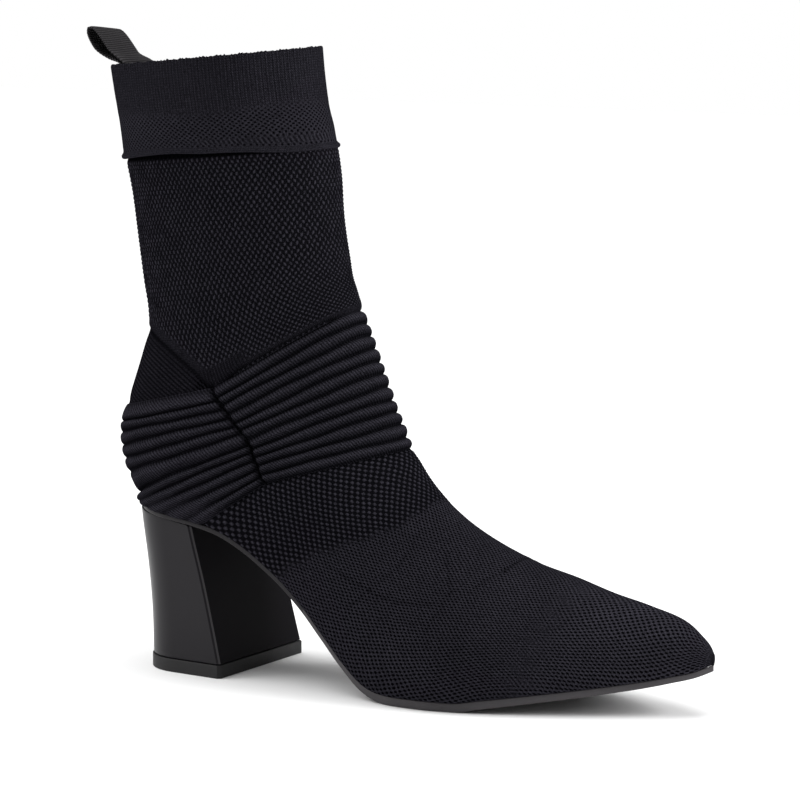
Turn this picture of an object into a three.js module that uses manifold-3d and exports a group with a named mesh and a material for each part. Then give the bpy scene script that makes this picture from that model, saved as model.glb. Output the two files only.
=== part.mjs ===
// Pull-on knitted sock boot with a pointed toe, a fan of raised ribs and a block heel, for the right foot
// Millimetres, +X to the toe, +Y to the inner side of the foot, +Z up, origin under the middle of the heel
import * as THREE from "three";
import Module from "manifold-3d";

const wasm = await Module();
wasm.setup();

// Driving dimensions
const bootLength = 250; // back of the heel curve to the toe tip
const ballWidth = 84; // across the upper at the ball
const heelHeight = 60; // what the heel lifts the seat above the ball
const toeSpring = 16; // what the toe tip stands above the ball
const instepHeight = 60; // top of the foot over the sole, under the ribs
const legHeight = 173.5; // heel seat to the front of the collar
const wall = 2; // knitted fabric with its lining
const clearance = 0.3; // between pieces that touch
const treadThickness = 3.2; // outsole under the ball
const insoleThickness = 2.4;
const liftThickness = 5; // rubber lift under the block heel
const liftProud = 0.4; // how far the lift stands out from the block
const heelTopWidth = 56; // block heel under the seat
const heelFootWidth = 59; // block heel at the lift, across the breast
const ribCount = 11;
const ribHeight = 1.2; // crest over valley
const weltDepth = 1.7; // folded edge of the collar cuff, proud of the leg
const weltHeight = 3.4;
const cuffDepth = 0.7; // cuff fabric, proud of the leg
const seatGap = 0.5; // sole and insole edges, drawn in from the upper's
const tapeWidth = 20;
const tapeThickness = 1.2;
const loopHeight = 16; // pull loop over the back of the collar
const loopGrip = 10; // what the tape reaches down inside the collar

// Named values of one table row each, so that a row reads as a section
const table = (names, rows) =>
  rows.map((row) => Object.fromEntries(names.split(" ").map((name, i) => [name, row[i]])));

// Sole: place and edge, in shares of the length, heel height, toe spring, tread thickness and half width
const soleTable = table("along rise spring thick lateral medial", [
  [0.031, 1.008, 0, 0.47, 0.68, 0.68],
  [0.08, 0.98, 0, 0.47, 0.69, 0.69],
  [0.136, 0.947, 0, 0.47, 0.69, 0.69],
  [0.18, 0.917, 0, 0.5, 0.68, 0.67],
  [0.216, 0.878, 0, 0.55, 0.665, 0.63],
  [0.256, 0.798, 0, 0.6, 0.65, 0.57],
  [0.304, 0.668, 0, 0.62, 0.645, 0.525],
  [0.364, 0.472, 0, 0.62, 0.68, 0.52],
  [0.408, 0.3, 0, 0.65, 0.73, 0.565],
  [0.452, 0.136, 0, 0.72, 0.79, 0.65],
  [0.484, 0.043, 0, 0.82, 0.835, 0.725],
  [0.516, 0.004, 0, 0.98, 0.885, 0.79],
  [0.544, 0, 0, 1, 0.93, 0.835],
  [0.592, 0, 0, 1, 0.94, 0.89],
  [0.64, 0, 0, 1, 0.895, 0.93],
  [0.68, 0, 0.09, 0.95, 0.835, 0.89],
  [0.764, 0, 0.28, 0.86, 0.63, 0.72],
  [0.84, 0, 0.4625, 0.78, 0.42, 0.565],
  [0.928, 0, 0.72, 0.68, 0.155, 0.335],
  [0.964, 0, 0.856, 0.62, 0.01, 0.215],
  [0.984, 0, 1, 0.6, -0.09, 0.15],
]);

// Foot of the upper: station counts rib pitches up from the lowest rib, under is where the section meets the
// sole, over is its top line, widest and seam are shares of the way up it, and bend is its kink at the seam
const footTable = table("station under over rise spring high lateral medial widest crown seam bend", [
  [-42, 0.9804, 0.9808, 0, 1, 0.067, -0.055, 0.16, 0.45, 2, 0.4, 0],
  [-41.4, 0.972, 0.9728, 0, 0.91, 0.138, -0.005, 0.212, 0.42, 2, 0.4, 0],
  [-40.3, 0.954, 0.957, 0, 0.82, 0.225, 0.076, 0.271, 0.38, 2, 0.4, 0],
  [-38.3, 0.916, 0.93, 0, 0.68, 0.33, 0.233, 0.417, 0.34, 2, 0.4, 0],
  [-35, 0.848, 0.872, 0, 0.48, 0.453, 0.44, 0.583, 0.31, 1.95, 0.4, 0],
  [-31, 0.768, 0.808, 0, 0.29, 0.562, 0.674, 0.769, 0.28, 1.9, 0.4, 0],
  [-27, 0.68, 0.744, 0, 0.1, 0.689, 0.876, 0.94, 0.27, 1.85, 0.4, 0],
  [-23, 0.592, 0.682, 0, 0, 0.79, 1, 1, 0.26, 1.8, 0.4, 0],
  [-19, 0.528, 0.631, 0, 0, 0.885, 0.976, 0.929, 0.26, 1.8, 0.4, 0],
  [-15, 0.468, 0.585, 0.1, 0, 0.893, 0.905, 0.833, 0.26, 1.8, 0.4, 0],
  [-11, 0.396, 0.5465, 0.2, 0, 0.915, 0.821, 0.714, 0.28, 1.85, 0.4, 0],
  [-7, 0.316, 0.5155, 0.32, 0, 0.918, 0.762, 0.667, 0.3, 1.9, 0.4, 0.03],
  [-3, 0.244, 0.4945, 0.4, 0, 0.95, 0.738, 0.679, 0.3, 1.9, 0.4, 0.07],
  [0, 0.19, 0.4805, 0.46, 0, 0.962, 0.738, 0.714, 0.3, 1.9, 0.407, 0.1],
  [2, 0.108, 0.4655, 0.52, 0, 1.05, 0.745, 0.733, 0.29, 1.95, 0.51, 0.043],
  [3.5, 0.058, 0.4535, 0.56, 0, 1.123, 0.75, 0.738, 0.28, 1.95, 0.56, 0.01],
  [4.5, 0.0318, 0.447, 0.6, 0, 1.162, 0.75, 0.738, 0.28, 1.95, 0.585, -0.01],
]);

// Leg of the upper: back and front line, with their heights in shares of the leg height
const legTable = table("station back up over rise high lateral medial widest crown seam bend", [
  [5.3, 0.0142, 0.033, 0.441, 0.63, 0.413, 0.75, 0.738, 0.28, 1.95, 0.587, -0.037],
  [7, -0.002, 0.088, 0.428, 0.71, 0.432, 0.75, 0.738, 0.29, 1.95, 0.58, -0.098],
  [9, -0.0086, 0.146, 0.412, 0.8, 0.454, 0.738, 0.726, 0.32, 2, 0.56, -0.138],
  [11, -0.0016, 0.2, 0.396, 0.88, 0.48, 0.71, 0.7, 0.36, 2, 0.53, -0.17],
  [12.5, 0.0225, 0.307, 0.386, 0.92, 0.503, 0.675, 0.667, 0.42, 2, 0.5, -0.13],
  [15.5, 0.0362, 0.4, 0.374, 0.96, 0.527, 0.643, 0.643, 0.47, 2.05, 0.5, -0.04],
  [18, 0.0275, 0.474, 0.367, 1, 0.556, 0.643, 0.643, 0.5, 2.1, 0.5, 0],
  [21.5, 0.018, 0.572, 0.3575, 1, 0.637, 0.655, 0.655, 0.5, 2.1, 0.5, 0],
  [25, 0.0085, 0.67, 0.3525, 1, 0.729, 0.667, 0.667, 0.5, 2.1, 0.5, 0],
  [28, -0.002, 0.744, 0.344, 1, 0.793, 0.681, 0.681, 0.5, 2.1, 0.5, 0],
  [31, -0.0105, 0.823, 0.3285, 1, 0.867, 0.683, 0.683, 0.5, 2.1, 0.5, 0],
  [34, -0.019, 0.886, 0.3205, 1, 0.936, 0.686, 0.686, 0.5, 2.1, 0.5, 0],
  [37, -0.0265, 0.947, 0.316, 1, 1, 0.69, 0.69, 0.5, 2.1, 0.5, 0],
]);

// Block heel: back and breast lines, in shares of the length, by share of the way up
const heelTable = table("share back breast", [
  [0, 0.0572, 0.2216],
  [0.3, 0.0545, 0.207],
  [0.65, 0.0462, 0.192],
  [0.9, 0.0382, 0.181],
  [1, 0.0355, 0.1765],
]);

// Pull loop: side line of the tape from inside the collar over the fold and back, in shares of its height
const loopTable = table("step lean climb", [
  [0, 0.26, -0.62],
  [1, 0.21, -0.3],
  [2, 0.14, 0.02],
  [3, -0.03, 0.35],
  [4, -0.26, 0.65],
  [5, -0.48, 0.87],
  [6, -0.68, 0.97],
  [7, -0.79, 0.96],
  [8, -0.82, 0.84],
  [9, -0.74, 0.6],
  [10, -0.61, 0.36],
  [11, -0.4, 0.22],
  [12, -0.06, 0.11],
  [13, 0.05, -0.08],
  [14, 0.09, -0.34],
  [15, 0.14, -0.62],
]);

const halfWidth = ballWidth / 2;
const radians = THREE.MathUtils.degToRad;
const smooth = THREE.MathUtils.smoothstep;
const mix = THREE.MathUtils.lerp;

// A smooth curve through one column of a table against another, with no overshoot between its rows
function curve(rows, from, to) {
  const at = rows.map((row) => row[from]);
  const value = rows.map((row) => row[to]);
  const rise = at.slice(1).map((x, i) => (value[i + 1] - value[i]) / (x - at[i]));
  const last = at.length - 1;
  const slope = at.map((x, i) => {
    if (i === 0) return rise[0];
    if (i === last) return rise[last - 1];
    if (rise[i - 1] * rise[i] <= 0) return 0;
    const before = x - at[i - 1];
    const after = at[i + 1] - x;
    const mean = (rise[i - 1] * after + rise[i] * before) / (before + after);
    const most = 3 * Math.min(Math.abs(rise[i - 1]), Math.abs(rise[i]));
    return Math.sign(mean) * Math.min(Math.abs(mean), most);
  });
  return (x) => {
    let i = 0;
    while (i < last - 1 && x > at[i + 1]) i += 1;
    const span = at[i + 1] - at[i];
    const t = (x - at[i]) / span;
    if (t < 0) return value[0] + slope[0] * (x - at[0]);
    if (t > 1) return value[last] + slope[last] * (x - at[last]);
    const near = (1 + 2 * t) * (1 - t) * (1 - t) * value[i] + t * t * (3 - 2 * t) * value[i + 1];
    return near + span * t * (1 - t) * ((1 - t) * slope[i] - t * slope[i + 1]);
  };
}

// Sole edge

const heelEnd = soleTable[0].along * bootLength;
const toeEnd = soleTable.at(-1).along * bootLength;
const heelRound = 24; // how far the back of the seat takes to reach its full width
const toeRound = 5;
const soleRise = curve(soleTable, "along", "rise");
const soleSpring = curve(soleTable, "along", "spring");
const soleThick = curve(soleTable, "along", "thick");
const soleLateral = curve(soleTable, "along", "lateral");
const soleMedial = curve(soleTable, "along", "medial");

// Height of the line where the upper meets the sole
function edgeHeight(x) {
  const along = x / bootLength;
  return treadThickness + clearance + soleRise(along) * heelHeight + soleSpring(along) * toeSpring;
}

// Sole edge at x, drawn in by inset: middle line and half width, rounded at both ends
function edgeAt(x, inset = 0) {
  const along = x / bootLength;
  const lateral = soleLateral(along) * halfWidth;
  const medial = soleMedial(along) * halfWidth;
  const back = Math.min(1, Math.max(0, (heelEnd + heelRound - x) / (heelRound - inset)));
  const front = Math.min(1, Math.max(0, (x - toeEnd + toeRound) / (toeRound - inset)));
  const round = Math.sqrt((1 - back * back) * (1 - front * front));
  return { middle: (medial - lateral) / 2, half: Math.max(0, (lateral + medial) / 2 - inset) * round };
}

// Upper

const soleStations = footTable.at(-1).station; // above it the sections close round the back of the heel
const sections = [
  ...footTable.map((row) => ({
    ...row,
    back: row.under * bootLength,
    up: 0,
    front: row.over * bootLength,
    top: row.rise * heelHeight + row.spring * toeSpring + row.high * instepHeight,
  })),
  ...legTable.map((row) => ({
    ...row,
    back: row.back * bootLength,
    up: row.up * legHeight,
    front: row.over * bootLength,
    top: row.rise * heelHeight + row.high * legHeight,
  })),
];
const columnNames = ["back", "up", "front", "top", "lateral", "medial", "widest", "crown", "seam", "bend"];
const sectionCurves = Object.fromEntries(columnNames.map((name) => [name, curve(sections, "station", name)]));
const collarStation = legTable.at(-1).station;
const weltStation = 28; // lower edge of the cuff
const ribSpan = 11; // stations that the ribs fill
const cornerTurn = radians(14); // first column beside the back line, where no sole corner takes it
const cornerHalf = 12; // half width of the sole past which its own corner takes that column
const cutDepth = 3; // how far the hollow is cut down past the sole edge
const heelSlope = 0.8; // lean of the upper just above the back of the seat

// Section of the upper at a station, drawn in by inset
function sectionAt(station, inset = 0) {
  const s = Object.fromEntries(columnNames.map((name) => [name, sectionCurves[name](station)]));
  const onSole = station <= soleStations;
  const backX = inset && onSole ? Math.max(s.back, heelEnd + inset + cutDepth * heelSlope) : s.back;
  const back = new THREE.Vector3(backX, 0, edgeHeight(Math.max(backX, heelEnd)) + Math.max(0, s.up));
  const front = new THREE.Vector3(s.front, 0, treadThickness + clearance + s.top);
  const chord = front.clone().sub(back).normalize();
  front.addScaledVector(chord, -inset);
  if (onSole) back.z -= inset ? cutDepth : 0;
  else back.addScaledVector(chord, inset);
  const edge = onSole ? edgeAt(backX, inset) : { middle: 0, half: 0 };
  return {
    back,
    front,
    edge,
    middle: ((s.medial - s.lateral) * halfWidth) / 2,
    half: ((s.medial + s.lateral) * halfWidth) / 2 - inset,
    widest: s.widest,
    crown: s.crown,
    seam: s.seam,
    bend: s.bend * heelHeight,
    corner: cornerTurn * (1 - smooth(edge.half, 0, cornerHalf)),
  };
}

const lowerSteps = 5;
const upperSteps = 12;
const halfColumns = 1 + lowerSteps + upperSteps;

// Point of a section: column 0 is the middle of the sole or back, halfColumns the middle of the top or front
function sectionPoint(section, column) {
  const side = column <= halfColumns ? -1 : 1;
  const step = column <= halfColumns ? column : 2 * halfColumns - column;
  let up = 0;
  let out = 0;
  let middle = section.edge.middle;
  if (step > 0 && step <= 1 + lowerSteps) {
    const turn = mix(section.corner, Math.PI / 2, (step - 1) / lowerSteps);
    up = section.widest * (1 - Math.cos(turn));
    out = section.edge.half + (section.half - section.edge.half) * Math.sin(turn);
    middle = mix(section.edge.middle, section.middle, Math.sin(turn));
  }
  if (step > 1 + lowerSteps) {
    const turn = (Math.PI / 2) * ((step - 1 - lowerSteps) / upperSteps);
    up = section.widest + (1 - section.widest) * Math.pow(Math.sin(turn), 2 / section.crown);
    out = step === halfColumns ? 0 : section.half * Math.pow(Math.cos(turn), 2 / section.crown);
    middle = section.middle;
  }
  const kink = up < section.seam ? up / section.seam : (1 - up) / (1 - section.seam);
  const point = section.back.clone().lerp(section.front, up);
  point.z += section.bend * kink;
  point.y = middle + side * out;
  return point;
}

const columns = Array.from({ length: 2 * halfColumns }, (_, i) => i);
const ringAt = (station, inset) => {
  const section = sectionAt(station, inset);
  return columns.map((column) => sectionPoint(section, column));
};

// Steps in the wall: stations of its rings, with how far each ring stands proud of the base form
const toeStation = footTable[0].station;
const footStations = [-41.4, -40.3, -38.3, -36.6, -35, -33, -31, -29, -27, -25, -23, -21, -19, -17, -15, -13];
footStations.push(-11, -9, -7, -5, -3, -1.5);
const legStations = [11.7, 12.5, 14, 15.5, 16.8, 18, 19.7, 21.5, 23.2, 25, 26.5];
const cuffStations = [30.5, 32.5, 34.5, collarStation];
const level = (stations, amount) => stations.map((station) => [station, amount]);

const crestSide = 0.34; // of a rib's pitch, from its valley to its crest
const ribPitch = ribSpan / ribCount;
const valley = -ribHeight / 3;
const ribRings = Array.from({ length: ribCount }, (_, rib) => [
  [rib * ribPitch, valley],
  [(rib + crestSide) * ribPitch, valley + ribHeight],
  [(rib + 1 - crestSide) * ribPitch, valley + ribHeight],
]);

const cuffHeight = sectionCurves.up(collarStation) - sectionCurves.up(weltStation);
const stationHeight = cuffHeight / (collarStation - weltStation);
const weltStep = 0.12; // stations that the underside of the welt takes
const weltFace = 0.6; // share of the welt that stands full
const weltRings = [
  [weltStation - weltStep, 0],
  [weltStation, weltDepth],
  [weltStation + (weltFace * weltHeight) / stationHeight, weltDepth],
  [weltStation + weltHeight / stationHeight, cuffDepth],
];
const proud = [
  ...level([toeStation, ...footStations], 0),
  ...ribRings.flat(),
  [ribSpan, valley],
  ...level(legStations, 0),
  ...weltRings,
  ...level(cuffStations, cuffDepth),
];

// Outward direction at each point of a ring, from the rings before and after it
function outward(before, ring, after) {
  return ring.map((point, i) => {
    const next = ring[(i + 1) % ring.length];
    const last = ring[(i + ring.length - 1) % ring.length];
    const along = after[i].clone().sub(before[i]);
    const round = next.clone().sub(last);
    return round.cross(along).normalize();
  });
}

const outerRings = proud.map(([station, amount]) => {
  const ring = ringAt(station);
  if (amount === 0) return ring;
  const beside = 0.2; // stations to the rings that give its direction
  const normals = outward(ringAt(station - beside), ring, ringAt(station + beside));
  const section = sectionAt(station);
  return ring.map((point, i) => {
    const step = Math.min(i, columns.length - i);
    const onEdge = step < 2 && section.edge.half > 0 ? 0 : 1; // nothing is raised on the flat of the sole
    if (station === collarStation) normals[i].z = 0;
    return point.addScaledVector(normals[i], amount * onEdge);
  });
});

// A closed body through rings of points, with each end drawn to its middle or to a given tip
function skin(rings, startTip, endTip) {
  const points = rings.flat();
  const count = rings[0].length;
  const faces = [];
  for (let r = 0; r + 1 < rings.length; r += 1) {
    for (let i = 0; i < count; i += 1) {
      const a = r * count + i;
      const b = r * count + ((i + 1) % count);
      faces.push([a, b, b + count], [a, b + count, a + count]);
    }
  }
  const middleOf = (ring) =>
    ring.reduce((sum, point) => sum.add(point), new THREE.Vector3()).divideScalar(ring.length);
  const start = points.push(startTip ?? middleOf(rings[0])) - 1;
  const end = points.push(endTip ?? middleOf(rings.at(-1))) - 1;
  const lastRing = (rings.length - 1) * count;
  for (let i = 0; i < count; i += 1) {
    const j = (i + 1) % count;
    faces.push([start, j, i], [end, lastRing + i, lastRing + j]);
  }
  return solid(points, faces);
}

// A closed body between two grids of points that lie face to face, with a wall round their edge
function slab(upperGrid, lowerGrid) {
  const rows = upperGrid.length;
  const width = upperGrid[0].length;
  const points = [...upperGrid.flat(), ...lowerGrid.flat()];
  const under = rows * width;
  const faces = [];
  for (let r = 0; r + 1 < rows; r += 1) {
    for (let c = 0; c + 1 < width; c += 1) {
      const a = r * width + c;
      const b = a + 1;
      const d = a + width;
      const e = d + 1;
      faces.push([a, b, e], [a, e, d], [under + a, under + e, under + b], [under + a, under + d, under + e]);
    }
  }
  const border = [];
  for (let c = 0; c + 1 < width; c += 1) border.push(c);
  for (let r = 0; r + 1 < rows; r += 1) border.push(r * width + width - 1);
  for (let c = width - 1; c > 0; c -= 1) border.push((rows - 1) * width + c);
  for (let r = rows - 1; r > 0; r -= 1) border.push(r * width);
  border.forEach((a, i) => {
    const b = border[(i + 1) % border.length];
    faces.push([a, under + a, under + b], [a, under + b, b]);
  });
  return solid(points, faces);
}

// Solid of a list of points and triangles, turned so that its faces look outwards
function solid(points, faces) {
  const volume = faces.reduce((sum, [a, b, c]) => sum + points[a].dot(points[b].clone().cross(points[c])), 0);
  const turned = volume < 0 ? faces.map(([a, b, c]) => [a, c, b]) : faces;
  const mesh = new wasm.Mesh({
    numProp: 3,
    vertProperties: new Float32Array(points.flatMap((p) => p.toArray())),
    triVerts: new Uint32Array(turned.flat()),
  });
  return new wasm.Manifold(mesh);
}

// Named mesh of a solid, with its own material
function part(name, body, material) {
  const mesh = body.getMesh();
  const geometry = new THREE.BufferGeometry();
  geometry.setAttribute("position", new THREE.BufferAttribute(mesh.vertProperties, 3));
  geometry.setIndex(new THREE.BufferAttribute(mesh.triVerts, 1));
  geometry.computeVertexNormals();
  const made = new THREE.Mesh(geometry, new THREE.MeshStandardMaterial(material));
  made.name = name;
  return made;
}

const toeSide = ((footTable[0].medial - footTable[0].lateral) / 2) * halfWidth;
const toeTip = new THREE.Vector3(0.9836 * bootLength, toeSide, edgeHeight(toeEnd) + 0.3 * wall);
const hollowToe = [-41.1, -40.3, -38.3, -35, -31, -27, -23, -19, -15, -11, -7, -3, -1];
const hollowHeel = [1, 2.5, 3.6, soleStations, 4.9, 5.6, 7, 8.5, 10, 11.5];
const hollowLeg = [13, 15.5, 18, 21.5, 25, 28, 32, collarStation];
const hollowRings = [...hollowToe, ...hollowHeel, ...hollowLeg].map((station) => ringAt(station, wall));
const mouth = hollowRings.at(-1);
hollowRings.push(mouth.map((point) => point.clone().add(new THREE.Vector3(0, 0, 2 * wall))));
const upper = skin(outerRings, toeTip).subtract(skin(hollowRings));

// Outsole

const across = (count) => Array.from({ length: count + 1 }, (_, i) => (2 * i) / count - 1);

// Places from a to b, closer together towards both ends where the outline rounds off
function endwise(a, b, count) {
  return Array.from({ length: count + 1 }, (_, i) => {
    const even = i / count;
    const eased = (1 - Math.cos(Math.PI * even)) / 2;
    return mix(a, b, mix(even, eased, 0.75));
  });
}

const endTrim = 0.2; // the last slice of a rounded end, left flat
const soleStart = heelEnd + seatGap + endTrim;
const soleStop = toeEnd - seatGap - endTrim;
const flatStart = soleTable.find((row) => row.rise === 0).along * bootLength;
const flatStop = soleTable.filter((row) => row.spring === 0).at(-1).along * bootLength;

// Underside of the outsole at x
function soleUnder(x) {
  const step = 0.5;
  const slope = (edgeHeight(x + step) - edgeHeight(x - step)) / (2 * step);
  const thickness = soleThick(x / bootLength) * treadThickness * Math.hypot(1, slope);
  if (x >= flatStart && x <= flatStop) return 0;
  return Math.max(0, edgeHeight(x) - clearance - thickness);
}

const soleRows = endwise(soleStart, soleStop, 38).concat(flatStart, flatStop).sort((a, b) => a - b);
const soleGrid = (height) =>
  soleRows.map((x) => {
    const { middle, half } = edgeAt(x, seatGap);
    return across(6).map((share) => new THREE.Vector3(x, middle + share * half, height(x)));
  });
const outsole = slab(soleGrid((x) => edgeHeight(x) - clearance), soleGrid(soleUnder));

// Insole, inside the wall of the upper

const insoleInset = wall + clearance + seatGap;
const insoleTrim = 3; // what the board stops short of the hollow's end at the toe
const insoleStop = toeEnd - toeRound - insoleTrim;
const insoleGrid = (height) =>
  endwise(heelEnd + insoleInset + 1, insoleStop, 26).map((x) => {
    const { middle, half } = edgeAt(x, insoleInset);
    return across(4).map((share) => new THREE.Vector3(x, middle + share * half, edgeHeight(x) + height));
  });
const insole = slab(insoleGrid(clearance + insoleThickness), insoleGrid(clearance));

// Block heel and its lift

const heelBack = curve(heelTable, "share", "back");
const heelBreast = curve(heelTable, "share", "breast");
const heelBackWidth = 0.86; // width at the back curve, as a share of that at the breast
const breastCorner = 1.2; // small flat between side and breast
const backRound = 19;
const backSteps = 8;

// Outline of the block at a share of the way up, from the middle of the breast round the back
function heelOutline(share, inset = 0) {
  const back = heelBack(share) * bootLength + inset;
  const breast = heelBreast(share) * bootLength - inset;
  const half = mix(heelFootWidth, heelTopWidth, share) / 2 - inset;
  const widthAt = (x) => half * mix(heelBackWidth, 1, (x - back) / (breast - back));
  const outline = [[breast, 0], [breast, half / 2], [breast, half - breastCorner]];
  for (const x of [breast - breastCorner, mix(breast, back + backRound, 0.5)]) outline.push([x, widthAt(x)]);
  for (let i = 0; i < backSteps; i += 1) {
    const turn = (Math.PI / 2) * (i / backSteps);
    const x = back + backRound * (1 - Math.pow(Math.sin(turn), 0.9)); // powers, for a fuller curve
    outline.push([x, widthAt(x) * Math.pow(Math.cos(turn), 0.78)]);
  }
  outline.push([back, 0]);
  const mirrored = outline.slice(1, -1).reverse();
  return [...outline, ...mirrored.map(([x, y]) => [x, -y])];
}

const blockFoot = liftThickness + clearance;
const blockRings = [0, 0.15, 0.3, 0.5, 0.7, 0.85, 1].map((share) =>
  heelOutline(share).map(([x, y]) => {
    const top = soleUnder(Math.max(x, soleStart)) - clearance;
    return new THREE.Vector3(x, y, mix(blockFoot, top, share));
  }),
);
const heelBlock = skin(blockRings);
const liftRing = (z) => heelOutline(0, -liftProud).map(([x, y]) => new THREE.Vector3(x, y, z));
const topLift = skin([liftRing(0), liftRing(liftThickness)]);

// Pull loop: a tape that leaves the collar's inside, folds over and returns

const collarBack = sectionAt(collarStation).back;
const backRadius = 15.5; // of the collar's back, which the tape follows until it stands free
const loopSkew = 0.1; // how far the fold drops to the inner side, for each millimetre across
const loopGap = 3 * clearance; // soft tape, so it keeps further off
const tapeStart = collarBack.x + wall + loopGap + tapeThickness / 2;
const loopRows = loopTable.map((row) => {
  const reach = row.climb < 0 ? loopGrip / -loopTable[0].climb : loopHeight;
  return new THREE.Vector3(tapeStart + row.lean * loopHeight, 0, collarBack.z + row.climb * reach);
});
const loopPath = new THREE.CatmullRomCurve3(loopRows, false, "centripetal");
const loopSteps = 30;
const tapeColumns = 6;
const loopGrid = (side) =>
  Array.from({ length: loopSteps + 1 }, (_, i) => {
    const point = loopPath.getPoint(i / loopSteps);
    const tangent = loopPath.getTangent(i / loopSteps);
    const normal = new THREE.Vector3(-tangent.z, 0, tangent.x);
    const centre = point.addScaledVector(normal, (side * tapeThickness) / 2);
    const free = smooth(centre.z, collarBack.z + tapeThickness, collarBack.z + 0.7 * loopHeight);
    return across(tapeColumns).map((share) => {
      const y = (share * tapeWidth) / 2;
      const bow = ((1 - free) * y * y) / (2 * backRadius);
      return new THREE.Vector3(centre.x + bow, y, centre.z - free * loopSkew * y);
    });
  });
const pullLoop = slab(loopGrid(1), loopGrid(-1));

// Materials, and the boot set so that the origin lies under the middle of the heel

const knit = { color: 0x17171a, roughness: 0.9, metalness: 0 };
const soleRubber = { color: 0x222224, roughness: 0.5, metalness: 0 };
const lacquer = { color: 0x161619, roughness: 0.3, metalness: 0 };
const liftRubber = { color: 0x1b1b1c, roughness: 0.7, metalness: 0 };
const lining = { color: 0x1e1e20, roughness: 0.85, metalness: 0 };
const tape = { color: 0x1d1b20, roughness: 0.75, metalness: 0 };

const boot = new THREE.Group();
boot.add(part("upper", upper, knit));
boot.add(part("outsole", outsole, soleRubber));
boot.add(part("insole", insole, lining));
boot.add(part("heel_block", heelBlock, lacquer));
boot.add(part("top_lift", topLift, liftRubber));
boot.add(part("pull_loop", pullLoop, tape));
boot.position.x = (-(heelBack(0) + heelBreast(0)) / 2) * bootLength;

export default boot;
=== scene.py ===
# Sock boot: knitted upper in four knits, thin sole, block heel with its lift, insole and pull loop
import math
import bpy
import numpy as np
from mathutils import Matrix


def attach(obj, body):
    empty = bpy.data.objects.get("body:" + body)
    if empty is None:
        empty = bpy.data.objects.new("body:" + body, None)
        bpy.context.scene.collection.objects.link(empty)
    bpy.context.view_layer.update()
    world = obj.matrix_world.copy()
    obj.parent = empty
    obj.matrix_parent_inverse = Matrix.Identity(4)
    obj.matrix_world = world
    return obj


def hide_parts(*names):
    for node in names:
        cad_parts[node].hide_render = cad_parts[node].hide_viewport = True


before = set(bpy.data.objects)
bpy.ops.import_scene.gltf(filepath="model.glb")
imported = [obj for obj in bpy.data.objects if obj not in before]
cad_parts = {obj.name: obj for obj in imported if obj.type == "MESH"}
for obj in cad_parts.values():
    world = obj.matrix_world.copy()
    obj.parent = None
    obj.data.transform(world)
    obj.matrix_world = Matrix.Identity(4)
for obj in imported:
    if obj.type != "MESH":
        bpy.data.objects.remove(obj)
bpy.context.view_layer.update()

# sizes of the last in millimetres, the ones that the solids are made from
last = {
    "length": 250.0,
    "ballWidth": 84.0,
    "heelHeight": 60.0,
    "toeSpring": 16.0,
    "instepHeight": 60.0,
    "legHeight": 173.5,
    "wall": 2.0,
    "clearance": 0.3,
    "tread": 3.2,
}
mm = 0.001
halfWidth = last["ballWidth"] / 2


def tableOf(names, rows):
    # named columns of a table, one array each
    return dict(zip(names.split(), np.array(rows, float).T))


# sole: place and edge in shares of the length, heel height, toe spring, tread thickness and half width
soleTable = tableOf("along rise spring thick lateral medial", [
    [0.031, 1.008, 0, 0.47, 0.68, 0.68],
    [0.08, 0.98, 0, 0.47, 0.69, 0.69],
    [0.136, 0.947, 0, 0.47, 0.69, 0.69],
    [0.18, 0.917, 0, 0.5, 0.68, 0.67],
    [0.216, 0.878, 0, 0.55, 0.665, 0.63],
    [0.256, 0.798, 0, 0.6, 0.65, 0.57],
    [0.304, 0.668, 0, 0.62, 0.645, 0.525],
    [0.364, 0.472, 0, 0.62, 0.68, 0.52],
    [0.408, 0.3, 0, 0.65, 0.73, 0.565],
    [0.452, 0.136, 0, 0.72, 0.79, 0.65],
    [0.484, 0.043, 0, 0.82, 0.835, 0.725],
    [0.516, 0.004, 0, 0.98, 0.885, 0.79],
    [0.544, 0, 0, 1, 0.93, 0.835],
    [0.592, 0, 0, 1, 0.94, 0.89],
    [0.64, 0, 0, 1, 0.895, 0.93],
    [0.68, 0, 0.09, 0.95, 0.835, 0.89],
    [0.764, 0, 0.28, 0.86, 0.63, 0.72],
    [0.84, 0, 0.4625, 0.78, 0.42, 0.565],
    [0.928, 0, 0.72, 0.68, 0.155, 0.335],
    [0.964, 0, 0.856, 0.62, 0.01, 0.215],
    [0.984, 0, 1, 0.6, -0.09, 0.15],
])

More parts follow.
